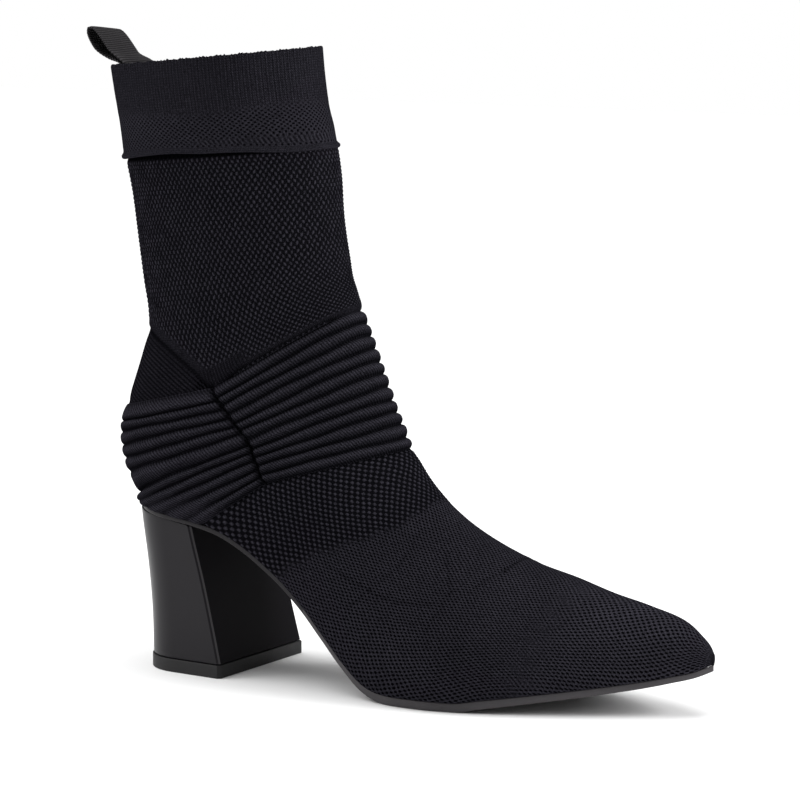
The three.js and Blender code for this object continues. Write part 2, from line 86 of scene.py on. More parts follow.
# foot of the upper: station counts rib pitches up from the lowest rib, under is where the section meets the
# sole, over is its top line, widest and seam are shares of the way up it, and bend is its kink at the seam
footTable = tableOf("station under over rise spring high lateral medial widest crown seam bend", [
    [-42, 0.9804, 0.9808, 0, 1, 0.067, -0.055, 0.16, 0.45, 2, 0.4, 0],
    [-41.4, 0.972, 0.9728, 0, 0.91, 0.138, -0.005, 0.212, 0.42, 2, 0.4, 0],
    [-40.3, 0.954, 0.957, 0, 0.82, 0.225, 0.076, 0.271, 0.38, 2, 0.4, 0],
    [-38.3, 0.916, 0.93, 0, 0.68, 0.33, 0.233, 0.417, 0.34, 2, 0.4, 0],
    [-35, 0.848, 0.872, 0, 0.48, 0.453, 0.44, 0.583, 0.31, 1.95, 0.4, 0],
    [-31, 0.768, 0.808, 0, 0.29, 0.562, 0.674, 0.769, 0.28, 1.9, 0.4, 0],
    [-27, 0.68, 0.744, 0, 0.1, 0.689, 0.876, 0.94, 0.27, 1.85, 0.4, 0],
    [-23, 0.592, 0.682, 0, 0, 0.79, 1, 1, 0.26, 1.8, 0.4, 0],
    [-19, 0.528, 0.631, 0, 0, 0.885, 0.976, 0.929, 0.26, 1.8, 0.4, 0],
    [-15, 0.468, 0.585, 0.1, 0, 0.893, 0.905, 0.833, 0.26, 1.8, 0.4, 0],
    [-11, 0.396, 0.5465, 0.2, 0, 0.915, 0.821, 0.714, 0.28, 1.85, 0.4, 0],
    [-7, 0.316, 0.5155, 0.32, 0, 0.918, 0.762, 0.667, 0.3, 1.9, 0.4, 0.03],
    [-3, 0.244, 0.4945, 0.4, 0, 0.95, 0.738, 0.679, 0.3, 1.9, 0.4, 0.07],
    [0, 0.19, 0.4805, 0.46, 0, 0.962, 0.738, 0.714, 0.3, 1.9, 0.407, 0.1],
    [2, 0.108, 0.4655, 0.52, 0, 1.05, 0.745, 0.733, 0.29, 1.95, 0.51, 0.043],
    [3.5, 0.058, 0.4535, 0.56, 0, 1.123, 0.75, 0.738, 0.28, 1.95, 0.56, 0.01],
    [4.5, 0.0318, 0.447, 0.6, 0, 1.162, 0.75, 0.738, 0.28, 1.95, 0.585, -0.01],
])

# leg of the upper: back and front line, with their heights in shares of the leg height
legTable = tableOf("station back up over rise high lateral medial widest crown seam bend", [
    [5.3, 0.0142, 0.033, 0.441, 0.63, 0.413, 0.75, 0.738, 0.28, 1.95, 0.587, -0.037],
    [7, -0.002, 0.088, 0.428, 0.71, 0.432, 0.75, 0.738, 0.29, 1.95, 0.58, -0.098],
    [9, -0.0086, 0.146, 0.412, 0.8, 0.454, 0.738, 0.726, 0.32, 2, 0.56, -0.138],
    [11, -0.0016, 0.2, 0.396, 0.88, 0.48, 0.71, 0.7, 0.36, 2, 0.53, -0.17],
    [12.5, 0.0225, 0.307, 0.386, 0.92, 0.503, 0.675, 0.667, 0.42, 2, 0.5, -0.13],
    [15.5, 0.0362, 0.4, 0.374, 0.96, 0.527, 0.643, 0.643, 0.47, 2.05, 0.5, -0.04],
    [18, 0.0275, 0.474, 0.367, 1, 0.556, 0.643, 0.643, 0.5, 2.1, 0.5, 0],
    [21.5, 0.018, 0.572, 0.3575, 1, 0.637, 0.655, 0.655, 0.5, 2.1, 0.5, 0],
    [25, 0.0085, 0.67, 0.3525, 1, 0.729, 0.667, 0.667, 0.5, 2.1, 0.5, 0],
    [28, -0.002, 0.744, 0.344, 1, 0.793, 0.681, 0.681, 0.5, 2.1, 0.5, 0],
    [31, -0.0105, 0.823, 0.3285, 1, 0.867, 0.683, 0.683, 0.5, 2.1, 0.5, 0],
    [34, -0.019, 0.886, 0.3205, 1, 0.936, 0.686, 0.686, 0.5, 2.1, 0.5, 0],
    [37, -0.0265, 0.947, 0.316, 1, 1, 0.69, 0.69, 0.5, 2.1, 0.5, 0],
])

# block heel: back and breast lines in shares of the length, by share of the way up
heelTable = tableOf("share back breast", [
    [0, 0.0572, 0.2216],
    [0.3, 0.0545, 0.207],
    [0.65, 0.0462, 0.188],
    [0.9, 0.0372, 0.172],
    [1, 0.034, 0.166],
])

# pull loop: side line of the tape from inside the collar over the fold and back, in shares of its height
loopTable = tableOf("step lean climb", [
    [0, 0.26, -0.62],
    [1, 0.21, -0.3],
    [2, 0.09, 0.04],
    [3, -0.17, 0.35],
    [4, -0.41, 0.65],
    [5, -0.6, 0.86],
    [6, -0.75, 0.95],
    [7, -0.85, 0.94],
    [8, -0.88, 0.83],
    [9, -0.79, 0.6],
    [10, -0.59, 0.34],
    [11, -0.36, 0.2],
    [12, -0.08, 0.11],
    [13, 0.05, -0.08],
    [14, 0.09, -0.34],
    [15, 0.14, -0.62],
])


def smoothCurve(at, value):
    # cubic through the rows of a table, and straight past both ends: the slope at a row is the weighted mean of
    # the slopes beside it, held to three times the flatter one and level at a peak, so that nothing overshoots
    span = np.diff(at)
    rise = np.diff(value) / span
    before, after = rise[:-1], rise[1:]
    mean = (before * span[1:] + after * span[:-1]) / (span[:-1] + span[1:])
    most = 3 * np.minimum(abs(before), abs(after))
    held = np.where(before * after <= 0, 0, np.sign(mean) * np.minimum(abs(mean), most))
    slope = np.concatenate([rise[:1], held, rise[-1:]])

    def read(x):
        x = np.asarray(x, float)
        i = np.clip(np.searchsorted(at, x) - 1, 0, len(span) - 1)
        t = (x - at[i]) / span[i]
        near = (1 + 2 * t) * (1 - t) ** 2 * value[i] + t * t * (3 - 2 * t) * value[i + 1]
        near = near + span[i] * t * (1 - t) * ((1 - t) * slope[i] - t * slope[i + 1])
        near = np.where(t < 0, value[0] + slope[0] * (x - at[0]), near)
        return np.where(t > 1, value[-1] + slope[-1] * (x - at[-1]), near)

    return read


def smoothStep(x, low, high):
    # 0 below low, 1 above high and a smooth rise between
    t = np.clip((x - low) / (high - low), 0, 1)
    return t * t * (3 - 2 * t)


def bellCurve(x, width):
    # 1 at nothing, falling off to both sides
    return np.exp(-((x / width) ** 2))


# Sole edge

soleCurves = {name: smoothCurve(soleTable["along"], soleTable[name]) for name in soleTable if name != "along"}
heelEnd = soleTable["along"][0] * last["length"]
toeEnd = soleTable["along"][-1] * last["length"]
heelRound = 24.0  # how far the back of the seat takes to reach its full width
toeRound = 5.0


def edgeHeight(x):
    # height of the line where the upper meets the sole
    along = x / last["length"]
    spring = soleCurves["spring"](along) * last["toeSpring"]
    return last["tread"] + last["clearance"] + soleCurves["rise"](along) * last["heelHeight"] + spring


def edgeAt(x, inset=0.0):
    # middle line and half width of the sole at x, drawn in by inset and rounded to nothing at both ends
    lateral = soleCurves["lateral"](x / last["length"]) * halfWidth
    medial = soleCurves["medial"](x / last["length"]) * halfWidth
    back = np.clip((heelEnd + heelRound - x) / (heelRound - inset), 0, 1)
    front = np.clip((x - toeEnd + toeRound) / (toeRound - inset), 0, 1)
    rounding = np.sqrt((1 - back * back) * (1 - front * front))
    return (medial - lateral) / 2, np.maximum(0, (lateral + medial) / 2 - inset) * rounding


# Sections of the upper

soleStations = footTable["station"][-1]  # above it the sections close round the back of the heel
collarStation = legTable["station"][-1]
cuffStation = legTable["station"][-4]  # the leg is evenly spaced from here up
sectionStations = np.concatenate([footTable["station"], legTable["station"]])


def bothTables(foot, leg):
    # a column of the foot's table with the leg's laid on top of it
    return np.concatenate([foot, leg])


sectionColumns = {
    "back": bothTables(footTable["under"], legTable["back"]) * last["length"],
    "up": bothTables(footTable["under"] * 0, legTable["up"]) * last["legHeight"],
    "front": bothTables(footTable["over"], legTable["over"]) * last["length"],
    "top": bothTables(
        footTable["rise"] * last["heelHeight"] + footTable["spring"] * last["toeSpring"]
        + footTable["high"] * last["instepHeight"],
        legTable["rise"] * last["heelHeight"] + legTable["high"] * last["legHeight"],
    ),
}
for name in ("lateral", "medial", "widest", "crown", "seam", "bend"):
    sectionColumns[name] = bothTables(footTable[name], legTable[name])
sectionCurves = {name: smoothCurve(sectionStations, column) for name, column in sectionColumns.items()}


def sectionAt(station, inset=0.0):
    # one section at each station, drawn in by inset
    s = {name: curve(station) for name, curve in sectionCurves.items()}
    onSole = station <= soleStations
    backX = np.where(onSole & (inset > 0), np.maximum(s["back"], heelEnd + inset), s["back"])
    backZ = edgeHeight(np.maximum(backX, heelEnd)) + np.maximum(0, s["up"])
    frontX, frontZ = s["front"], last["tread"] + last["clearance"] + s["top"]
    chord = np.hypot(frontX - backX, frontZ - backZ)
    alongX, alongZ = (frontX - backX) / chord, (frontZ - backZ) / chord
    backInset = np.where(onSole, 0, inset)
    middle, half = edgeAt(backX, inset)
    return {
        "backX": backX + backInset * alongX,
        "backZ": backZ + backInset * alongZ,
        "frontX": frontX - inset * alongX,
        "frontZ": frontZ - inset * alongZ,
        "chord": chord,
        "edgeMiddle": np.where(onSole, middle, 0),
        "edgeHalf": np.where(onSole, half, 0),
        "middle": (s["medial"] - s["lateral"]) * halfWidth / 2,
        "half": (s["medial"] + s["lateral"]) * halfWidth / 2 - inset,
        "widest": s["widest"],
        "crown": s["crown"],
        "seam": s["seam"],
        "bend": s["bend"] * last["heelHeight"],
    }


def sectionPoint(s, turn, side):
    # turn 0 to 1 is a quarter ellipse from the sole edge or back line to the widest place, and 1 to 2 a
    # quarter of a superellipse on to the top or front line; the way up is then kinked by a tent that peaks at
    # the seam
    low = np.clip(turn, 0, 1) * math.pi / 2
    high = np.clip(turn - 1, 0, 1) * math.pi / 2
    power = 2 / s["crown"]
    below = turn < 1
    upHigh = s["widest"] + (1 - s["widest"]) * np.sin(high) ** power
    up = np.where(below, s["widest"] * (1 - np.cos(low)), upHigh)
    lowOut = s["edgeHalf"] + (s["half"] - s["edgeHalf"]) * np.sin(low)
    out = np.where(below, lowOut, s["half"] * np.clip(np.cos(high), 0, 1) ** power)
    lowMiddle = s["edgeMiddle"] + (s["middle"] - s["edgeMiddle"]) * np.sin(low)
    middle = np.where(below, lowMiddle, s["middle"])
    kink = np.where(up < s["seam"], up / s["seam"], (1 - up) / (1 - s["seam"]))
    x = s["backX"] + (s["frontX"] - s["backX"]) * up
    z = s["backZ"] + (s["frontZ"] - s["backZ"]) * up + s["bend"] * kink
    return np.stack([x, middle + side * out, z], -1), up


def lengthAlong(points, axis):
    # running length of the grid lines along one axis
    steps = np.linalg.norm(np.diff(points, axis=axis), axis=-1)
    start = np.zeros_like(np.take(steps, [0], axis=axis))
    return np.concatenate([start, np.cumsum(steps, axis=axis)], axis=axis)


def evenTurns(s, side, count):
    # turns that lie evenly along the line of each section: the running lengths of all rows are laid end to
    # end, so that one interpolation serves them all
    fine = np.broadcast_to(np.linspace(0, 2, 321), (len(s["chord"]), 321))
    run = lengthAlong(sectionPoint(s, fine, side)[0], 1)
    apart = run.max() + 1
    offset = np.arange(len(run))[:, None] * apart
    wanted = run[:, -1:] * np.linspace(0, 1, count + 1) + offset
    return np.interp(wanted.ravel(), (run + offset).ravel(), fine.ravel()).reshape(wanted.shape)


def sheetOf(stations, perSide, inset=0.0):
    # grid of the wall: a row for each station, columns from the outer sole edge over the top to the inner one
    s = sectionAt(np.asarray(stations, float)[:, None], inset)
    outer = sectionPoint(s, evenTurns(s, -1, perSide), -1)
    inner = sectionPoint(s, evenTurns(s, 1, perSide), 1)
    point = np.concatenate([outer[0], inner[0][:, -2::-1]], 1)
    up = np.concatenate([outer[1], inner[1][:, -2::-1]], 1)
    around = lengthAlong(point, 1)
    share = np.linspace(-1, 1, 2 * perSide + 1)[None, :] + 0 * up
    return {
        "point": point,
        "up": up,
        "station": np.asarray(stations, float)[:, None] + 0 * up,
        "around": around - around[:, perSide : perSide + 1],
        "along": lengthAlong(point, 0),
        "share": share,
        "toSeam": (up - s["seam"]) * s["chord"],
        "closed": np.asarray(stations, float) > soleStations,
    }


def outwardOf(sheet):
    # unit normal of each point: across the columns times up the rows, taken round the back where rows close
    point = sheet["point"]
    across = np.gradient(point, axis=1)
    wrapped = point[:, 1] - point[:, -2]
    closed = sheet["closed"][:, None]
    across[:, 0] = np.where(closed, wrapped, across[:, 0])
    across[:, -1] = np.where(closed, wrapped, across[:, -1])
    normal = np.cross(across, np.gradient(point, axis=0))
    return normal / np.maximum(np.linalg.norm(normal, axis=-1, keepdims=True), 1e-9)


# Raised forms in the wall, over the smooth last

ribs = {
    "count": 11,
    "crest": 0.7,  # proud of the last
    "valley": 0.75,  # sunk under it
    "lean": 1.15,  # over 1 the crest lies above the middle of its pitch
    "round": 2.6,  # power of the profile: higher is broader, with a narrower valley
    "behindFlat": 0.62,  # share of its rise that a rib loses round the back of the heel
    "fingerEnd": 2.2,  # rounded end of a rib beside the seam
    "backShift": 0.38,  # ribs behind the seam lie this much higher
    "seamDepth": 1.2,
    "seamWidth": 0.75,
    "foldDepth": 1.5,  # crease over the highest rib, from the seam to just short of the front line
    "foldStation": 11.03,
    "foldSwell": 0.55,
    "toothPitch": 1.15,
    "toothLean": 0.45,
    "stitch": (0.8, 0.8),  # wale and course of the fine knit
    "bump": 0.28,
}

# creases and drawn-in lines of the knit: (station, share) of both ends, depth and width in millimetres
creases = [
    ((-22.3, 0.16), (-22.75, -0.16), 0.5, 1.2),
    ((-22.75, -0.16), (-21.9, -0.33), 0.3, 1.3),
    ((-9.3, -0.68), (-12.9, -0.6), 0.28, 0.9),
    ((-12.9, -0.6), (-19.2, -0.49), 0.25, 0.9),
    ((-12.3, -0.75), (-13.6, -0.42), 0.22, 1.0),
    ((-13.6, -0.42), (-12.6, -0.2), 0.2, 1.0),
    ((-20.7, -0.66), (-20.2, -0.4), 0.22, 1.1),
    ((-20.2, -0.4), (-16.4, -0.22), 0.2, 1.1),
    ((-21.6, 0.3), (-20.9, 0.55), 0.3, 1.2),
    ((-13.0, 0.62), (-18.5, 0.52), 0.22, 1.0),
]
creaseScale = {"station": 5.6, "share": 76.0}  # millimetres to one station and to one share on the vamp


def creaseRelief(sheet):
    # soft troughs: a bell across the nearest point of each short line, with a low ridge on both sides of it
    x, y = sheet["station"] * creaseScale["station"], sheet["share"] * creaseScale["share"]
    rise = 0 * x
    for start, end, depth, width in creases:
        startX, startY = start[0] * creaseScale["station"], start[1] * creaseScale["share"]
        runX, runY = end[0] * creaseScale["station"] - startX, end[1] * creaseScale["share"] - startY
        t = np.clip(((x - startX) * runX + (y - startY) * runY) / (runX * runX + runY * runY), 0, 1)
        off = np.hypot(x - startX - t * runX, y - startY - t * runY)
        rise += depth * (0.45 * bellCurve(off, 2.6 * width) - 1.45 * bellCurve(off, width))
    return rise


def ribPhase(sheet):
    # place in the pitch of its rib, 0 to 1, with slow unevenness; ribs behind the seam are shifted up
    station, toSeam = sheet["station"], sheet["toSeam"]
    behind = smoothStep(-toSeam, -0.2, 0.2)
    inner = smoothStep(station, 0, 1) * (1 - smoothStep(station, 10, 11))
    uneven = 0.045 * np.sin(sheet["around"] * 0.11 + 1.9 * station)
    uneven += 0.025 * np.sin(sheet["around"] * 0.29 - 2.7 * station)
    return (station + inner * (behind * ribs["backShift"] + uneven)) % 1


def ribProfile(sheet):
    # one rib over its pitch: a rounded crest between narrow valleys, with rounded ends at the seam
    offCrest = abs(2 * ribPhase(sheet) ** ribs["lean"] - 1)
    end = 1 - np.clip(1 - abs(sheet["toSeam"]) / ribs["fingerEnd"], 0, 1) ** 2
    return (1 - offCrest ** ribs["round"]) * end


def inFan(station):
    # 1 over the stations of the ribs and 0 beyond them
    return smoothStep(station, -0.02, 0.02) * smoothStep(ribs["count"] - station, -0.02, 0.02)


def foldAhead(sheet):
    # 1 where the fold runs: ahead of the seam and short of the front line
    return smoothStep(sheet["toSeam"], 0, 12) * smoothStep(abs(sheet["share"]), 0.03, 0.12)


def wallRelief(sheet):
    # ribs round the ankle, the sunk seam between their front and back runs, and the fold over the highest rib
    station = sheet["station"]
    fan = inFan(station)
    toGroove = bellCurve(station, 0.3) + bellCurve(station - ribs["count"], 0.3)
    less = 1 - ribs["behindFlat"] * smoothStep(abs(sheet["share"]), 0.78, 0.95)
    rise = fan * less * (ribProfile(sheet) * (ribs["crest"] + ribs["valley"]) - ribs["valley"])
    rise -= (1 - fan) * ribs["valley"] * np.clip(toGroove, 0, 1)
    seamRun = smoothStep(station, -0.6, 0.4) * (1 - smoothStep(station, 11.0, 11.6))
    rise -= ribs["seamDepth"] * seamRun * bellCurve(sheet["toSeam"], ribs["seamWidth"])
    rise -= foldAhead(sheet) * ribs["foldDepth"] * bellCurve(station - ribs["foldStation"], 0.22)
    rise += foldAhead(sheet) * ribs["foldSwell"] * bellCurve(station - ribs["foldStation"] - 0.6, 0.4)
    return rise


def wallShade(sheet):
    # painted shade: how deep a place lies in a valley, seam or crease, or on a rib's underside, from 0 to 1;
    # the yarn's colour is darkened by it
    station = sheet["station"]
    seamRun = smoothStep(station, -0.4, 0.2) * (1 - smoothStep(station, 11.0, 11.4))
    phase = ribPhase(sheet)
    underside = smoothStep(phase, 0.02, 0.12) * (1 - smoothStep(phase, 0.4, 0.6))
    deep = inFan(station) * np.clip(0.88 * (1 - ribProfile(sheet)) ** 0.8 + 0.42 * underside, 0, 0.94)
    deep *= 1 - 0.35 * smoothStep(abs(sheet["share"]), 0.8, 0.95)
    deep = np.maximum(deep, seamRun * bellCurve(sheet["toSeam"], 0.8))
    deep = np.maximum(deep, foldAhead(sheet) * bellCurve(station - ribs["foldStation"] + 0.04, 0.17))
    return np.clip(np.maximum(deep, -0.9 * creaseRelief(sheet)), 0, 1)


def gridFaces(index, flip=False):
    # four-cornered faces between the neighbouring rows and columns of a grid of point numbers
    quads = np.stack([index[:-1, :-1], index[:-1, 1:], index[1:, 1:], index[1:, :-1]], -1).reshape(-1, 4)
    return quads[:, ::-1] if flip else quads


def stripFaces(outer, inner, ratio, flip=False):
    # faces between a fine line of points and a coarser one that has a point for every few of them
    count = len(inner) - 1
    fine = np.arange(count)[:, None] * ratio + np.arange(ratio + 1)
    faces = np.concatenate([outer[fine], inner[1:, None], inner[:-1, None]], 1)
    return faces[:, ::-1] if flip else faces


def makeMesh(name, points, groups, uv=None, marks=None, sharpAngle=52):
    # points in millimetres of the last and faces in groups of equal length; points in no face are left out
    corners = np.concatenate([group.ravel() for group in groups])
    used, loops = np.unique(corners, return_inverse=True)
    sizes = np.concatenate([np.full(len(group), group.shape[1]) for group in groups])
    starts = np.concatenate([[0], np.cumsum(sizes)[:-1]])
    mesh = bpy.data.meshes.new(name)
    mesh.vertices.add(len(used))
    mesh.vertices.foreach_set("co", ((points[used] + [shiftX, 0, 0]) * mm).astype(np.float32).ravel())
    mesh.loops.add(len(loops))
    mesh.loops.foreach_set("vertex_index", loops.astype(np.int32).ravel())
    mesh.polygons.add(len(sizes))
    mesh.polygons.foreach_set("loop_start", starts.astype(np.int32))
    mesh.update(calc_edges=True)
    if uv is not None:
        layer = mesh.uv_layers.new(name="cloth")
        layer.uv.foreach_set("vector", uv[used][loops.ravel()].astype(np.float32).ravel())
    for mark, values in (marks or {}).items():
        attribute = mesh.attributes.new(mark, "FLOAT", "POINT")
        attribute.data.foreach_set("value", values[used].astype(np.float32))
    mesh.validate()
    mesh.shade_smooth()
    mesh.set_sharp_from_angle(angle=math.radians(sharpAngle))
    piece = bpy.data.objects.new(name, mesh)
    bpy.context.scene.collection.objects.link(piece)
    return piece


def place(piece, material, slot, node):
    # every piece rides the one body and stands in for its solid
    piece.data.materials.append(material)
    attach(piece, "root")
    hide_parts(node)
    print("made", piece.name, "with", len(piece.data.polygons), "faces")


heelBack = smoothCurve(heelTable["share"], heelTable["back"])
heelBreast = smoothCurve(heelTable["share"], heelTable["breast"])
# the origin lies under the middle of the heel
shiftX = -float(heelBack(0) + heelBreast(0)) / 2 * last["length"]

inside = 4  # fine rows and columns to each one of the inner face of the wall
innerStart = -41.1  # station where the inner face starts, short of the toe's tip
toeTip = np.array([0.9836 * last["length"], 4.4, edgeHeight(toeEnd) - 0.5])


def alongCloth(sheet):
    # the cloth's own coordinates: round the leg from the front line, and along it from the first row
    return np.stack([sheet["around"], sheet["along"]], -1)


def risingCloth(sheet):
    # round the leg with finer stitches towards the back, and up it by the mean length of the columns
    up = sheet["along"].mean(1)[:, None] + 0 * sheet["up"]
    return np.stack([sheet["around"] * (1 + 0.1 * abs(sheet["share"])), up], -1)


# the point that the foot's cloth bends about, and the foot's middle, height and width by the angle about it
bend = {"x": 300.0, "z": 230.0, "reach": 250.0}
bendTable = tableOf("angle middle height width", [
    [10, 210, 7, 7],
    [17, 218, 10, 12],
    [31, 240, 23, 38],
    [46, 260, 31, 33],
    [56, 272, 34, 31],
    [70, 285, 36, 31],
])


def bentCloth(sheet):
    # the foot bends about a point ahead of the shin: along is the angle about that point times the reach, and
    # round is the angle about the middle of the foot there times its mean radius
    x, y, z = np.moveaxis(sheet["point"], -1, 0)
    fromBend = np.hypot(x - bend["x"], z - bend["z"])
    angle = np.arctan2(bend["x"] - x, bend["z"] - z)
    foot = {}
    for name in ("middle", "height", "width"):
        foot[name] = smoothCurve(bendTable["angle"], bendTable[name])(np.degrees(angle))
    turn = np.arctan2((y - edgeAt(x)[0]) / foot["width"], (foot["middle"] - fromBend) / foot["height"])
    return np.stack([turn * (foot["width"] + foot["height"]) / 2, -angle * bend["reach"]], -1)


def wallPiece(
    name, stations, perSide, relief, material, rowRise=0.0, drop=0.0, marks=None, toe=False, cloth=alongCloth
):
    # closed shell between the knitted outer face and the plain inner face, over a range of stations: relief
    # gives the raised pattern of the outer face from the sheet's own coordinates, rowRise lifts whole rows,
    # drop moves points up or down, and marks and cloth give what the material reads
    stations = np.asarray(stations, float)
    outer = sheetOf(stations, perSide)
    innerStations = np.clip(stations[::inside], innerStart, collarStation)
    if toe:
        towards = np.linspace(0, 1, len(innerStations)) ** 1.3
        innerStations = innerStart + towards * (stations[-1] - innerStart)
    inner = sheetOf(innerStations, perSide // inside, last["wall"])
    rise = wallRelief(outer) + relief(outer) + rowRise
    outerPoint = outer["point"] + outwardOf(outer) * rise[..., None]
    outerPoint[..., 2] += drop
    rows, columns = rise.shape
    innerRows, innerColumns = inner["up"].shape
    outerIndex = np.arange(rows * columns).reshape(rows, columns)
    innerIndex = rows * columns + np.arange(innerRows * innerColumns).reshape(innerRows, innerColumns)
    # rows over the sole end at its edge, and the rows above them close round the back
    openRows = int(np.sum(~outer["closed"]))
    closeRow = -(-openRows // inside) * inside if openRows else 0
    outerIndex[closeRow:, -1] = outerIndex[closeRow:, 0]
    innerIndex[closeRow // inside :, -1] = innerIndex[closeRow // inside :, 0]
    points = [outerPoint.reshape(-1, 3), inner["point"].reshape(-1, 3)]
    groups = [gridFaces(outerIndex), gridFaces(innerIndex, True)]
    strips = [stripFaces(outerIndex[-1], innerIndex[-1], inside)]
    if openRows:
        sideRows = min(closeRow, rows - 1)
        left, right = outerIndex[: sideRows + 1, 0], outerIndex[: sideRows + 1, -1]
        innerSides = innerIndex[: sideRows // inside + 1]
        strips.append(stripFaces(left, innerSides[:, 0], inside))
        strips.append(stripFaces(right, innerSides[:, -1], inside, True))
    uvs = [cloth(outer).reshape(-1, 2), cloth(inner).reshape(-1, 2)]
    if toe:  # both faces end in a point
        tip, innerTip = rows * columns + innerRows * innerColumns + np.arange(2)
        points.append(np.array([toeTip, inner["point"][0].mean(0) + [0.4, 0, 0]]))
        uvs.append(np.zeros((2, 2)))
        first, innerFirst = outerIndex[0], innerIndex[0]
        groups.append(np.stack([first[1:], first[:-1], np.full(columns - 1, tip)], 1))
        groups.append(np.stack([innerFirst[:-1], innerFirst[1:], np.full(innerColumns - 1, innerTip)], 1))
        left, right = [tip, first[0], innerFirst[0], innerTip], [first[-1], tip, innerTip, innerFirst[-1]]
        groups.append(np.array([left, right]))
    else:
        strips.append(stripFaces(outerIndex[0], innerIndex[0], inside, True))
    total = sum(len(block) for block in points)  # the inner face and the tips carry no marks
    packed = {}
    # the deep mark is the painted shade of the valleys, seams and creases
    for mark, values in {"deep": wallShade(outer), **(marks(outer) if marks else {})}.items():
        packed[mark] = np.concatenate([values.ravel(), np.zeros(total - values.size)])
    piece = makeMesh(name, np.concatenate(points), groups + strips, np.concatenate(uvs) / 100, packed, 76)
    place(piece, material, "knit", "upper")


# Materials


def nodeKit(name):
    # a new material with its node tree and shader
    material = bpy.data.materials.new(name)
    material.use_nodes = True
    tree = material.node_tree
    shader = tree.nodes["Principled BSDF"]
    return material, tree, shader


def mathOf(tree, operation, a, b=None, c=None):
    # one step of arithmetic on numbers or sockets
    node = tree.nodes.new("ShaderNodeMath")
    node.operation = operation
    for socket, value in zip(node.inputs, (a, b, c)):
        if value is None:
            continue
        if isinstance(value, (int, float)):
            socket.default_value = value
        else:
            tree.links.new(value, socket)
    return node.outputs[0]


def clothUv(tree, wander=0.0):
    # the cloth's own coordinates in millimetres, round the leg and along it, with the rows a little off true
    source = tree.nodes.new("ShaderNodeUVMap")
    source.uv_map = "cloth"
    split = tree.nodes.new("ShaderNodeSeparateXYZ")
    tree.links.new(source.outputs[0], split.inputs[0])
    u = mathOf(tree, "MULTIPLY", split.outputs[0], 100.0)
    v = mathOf(tree, "MULTIPLY", split.outputs[1], 100.0)
    if not wander:
        return u, v
    pull = mathOf(tree, "MULTIPLY_ADD", noiseOf(tree, 210.0, 2.0), wander, -wander / 2)
    lift = mathOf(tree, "MULTIPLY_ADD", noiseOf(tree, 270.0, 2.0), wander, -wander / 2)
    return mathOf(tree, "ADD", u, pull), mathOf(tree, "ADD", v, lift)


def waveOf(tree, place, pitch, shift=0.0):
    # sine of the place, once round in each pitch
    return mathOf(tree, "SINE", mathOf(tree, "MULTIPLY_ADD", place, 2 * math.pi / pitch, shift))


def fineStitch(tree, u, v, wale, course):
    # plain knit: a ridge for each half wale, cut across by courses that lean both ways
    lean = mathOf(tree, "ABSOLUTE", waveOf(tree, u, 2 * wale))
    leaned = mathOf(tree, "MULTIPLY_ADD", lean, course * 0.55, v)
    ridge = mathOf(tree, "ABSOLUTE", waveOf(tree, u, 2 * wale, math.pi / 4))
    courses = mathOf(tree, "MULTIPLY_ADD", waveOf(tree, leaned, course), 0.5, 0.5)
    return mathOf(tree, "MULTIPLY", ridge, courses)


def stagger(tree, u, v, across, course, power):
    # dots in staggered rows: the part above nothing of two waves multiplied
    product = mathOf(tree, "MULTIPLY", waveOf(tree, u, across), waveOf(tree, v, course))
    return mathOf(tree, "POWER", mathOf(tree, "MAXIMUM", product, 0.0), power)


def mixed(tree, share, a, b):
    # a where share is 0 and b where it is 1
    gap = mathOf(tree, "SUBTRACT", b, a)
    return mathOf(tree, "MULTIPLY_ADD", gap, share, a)


def markOf(tree, name):
    # one of the piece's own marks, 0 where it has none
    source = tree.nodes.new("ShaderNodeAttribute")
    source.attribute_name = name
    return source.outputs["Fac"]


def noiseOf(tree, scale, detail=3.0):
    # cloudy values round a half, fixed to the piece
    place = tree.nodes.new("ShaderNodeTexCoord")
    noise = tree.nodes.new("ShaderNodeTexNoise")
    noise.inputs["Scale"].default_value = scale
    noise.inputs["Detail"].default_value = detail
    tree.links.new(place.outputs["Object"], noise.inputs["Vector"])
    return noise.outputs[0]


def rampColour(tree, value, low, high):
    # the colour low where value is 0 and high where it is 1
    mix = tree.nodes.new("ShaderNodeMix")
    mix.data_type = "RGBA"
    tree.links.new(value, mix.inputs["Factor"])
    mix.inputs["A"].default_value = (*low, 1)
    mix.inputs["B"].default_value = (*high, 1)
    return mix.outputs["Result"]


def addBump(tree, shader, height, distance):
    # a bump whose depth is given in millimetres
    bump = tree.nodes.new("ShaderNodeBump")
    bump.inputs["Distance"].default_value = distance * mm
    bump.inputs["Strength"].default_value = 1.0
    tree.links.new(height, bump.inputs["Height"])
    tree.links.new(bump.outputs[0], shader.inputs["Normal"])


yarn = {
    # dark is painted shade between the stitches, and light is the stitch tops with painted light on them
    "dark": (0.0006, 0.0006, 0.0009),
    "light": (0.03, 0.0285, 0.0365),
    "roughness": 0.55,
    "specular": 0.0,
    "twist": 2300.0,  # grain of the single threads
    "mottle": 45.0,  # slow unevenness of the dye
    "valleyShade": 0.9,  # how much the painted shade of a valley darkens it
}


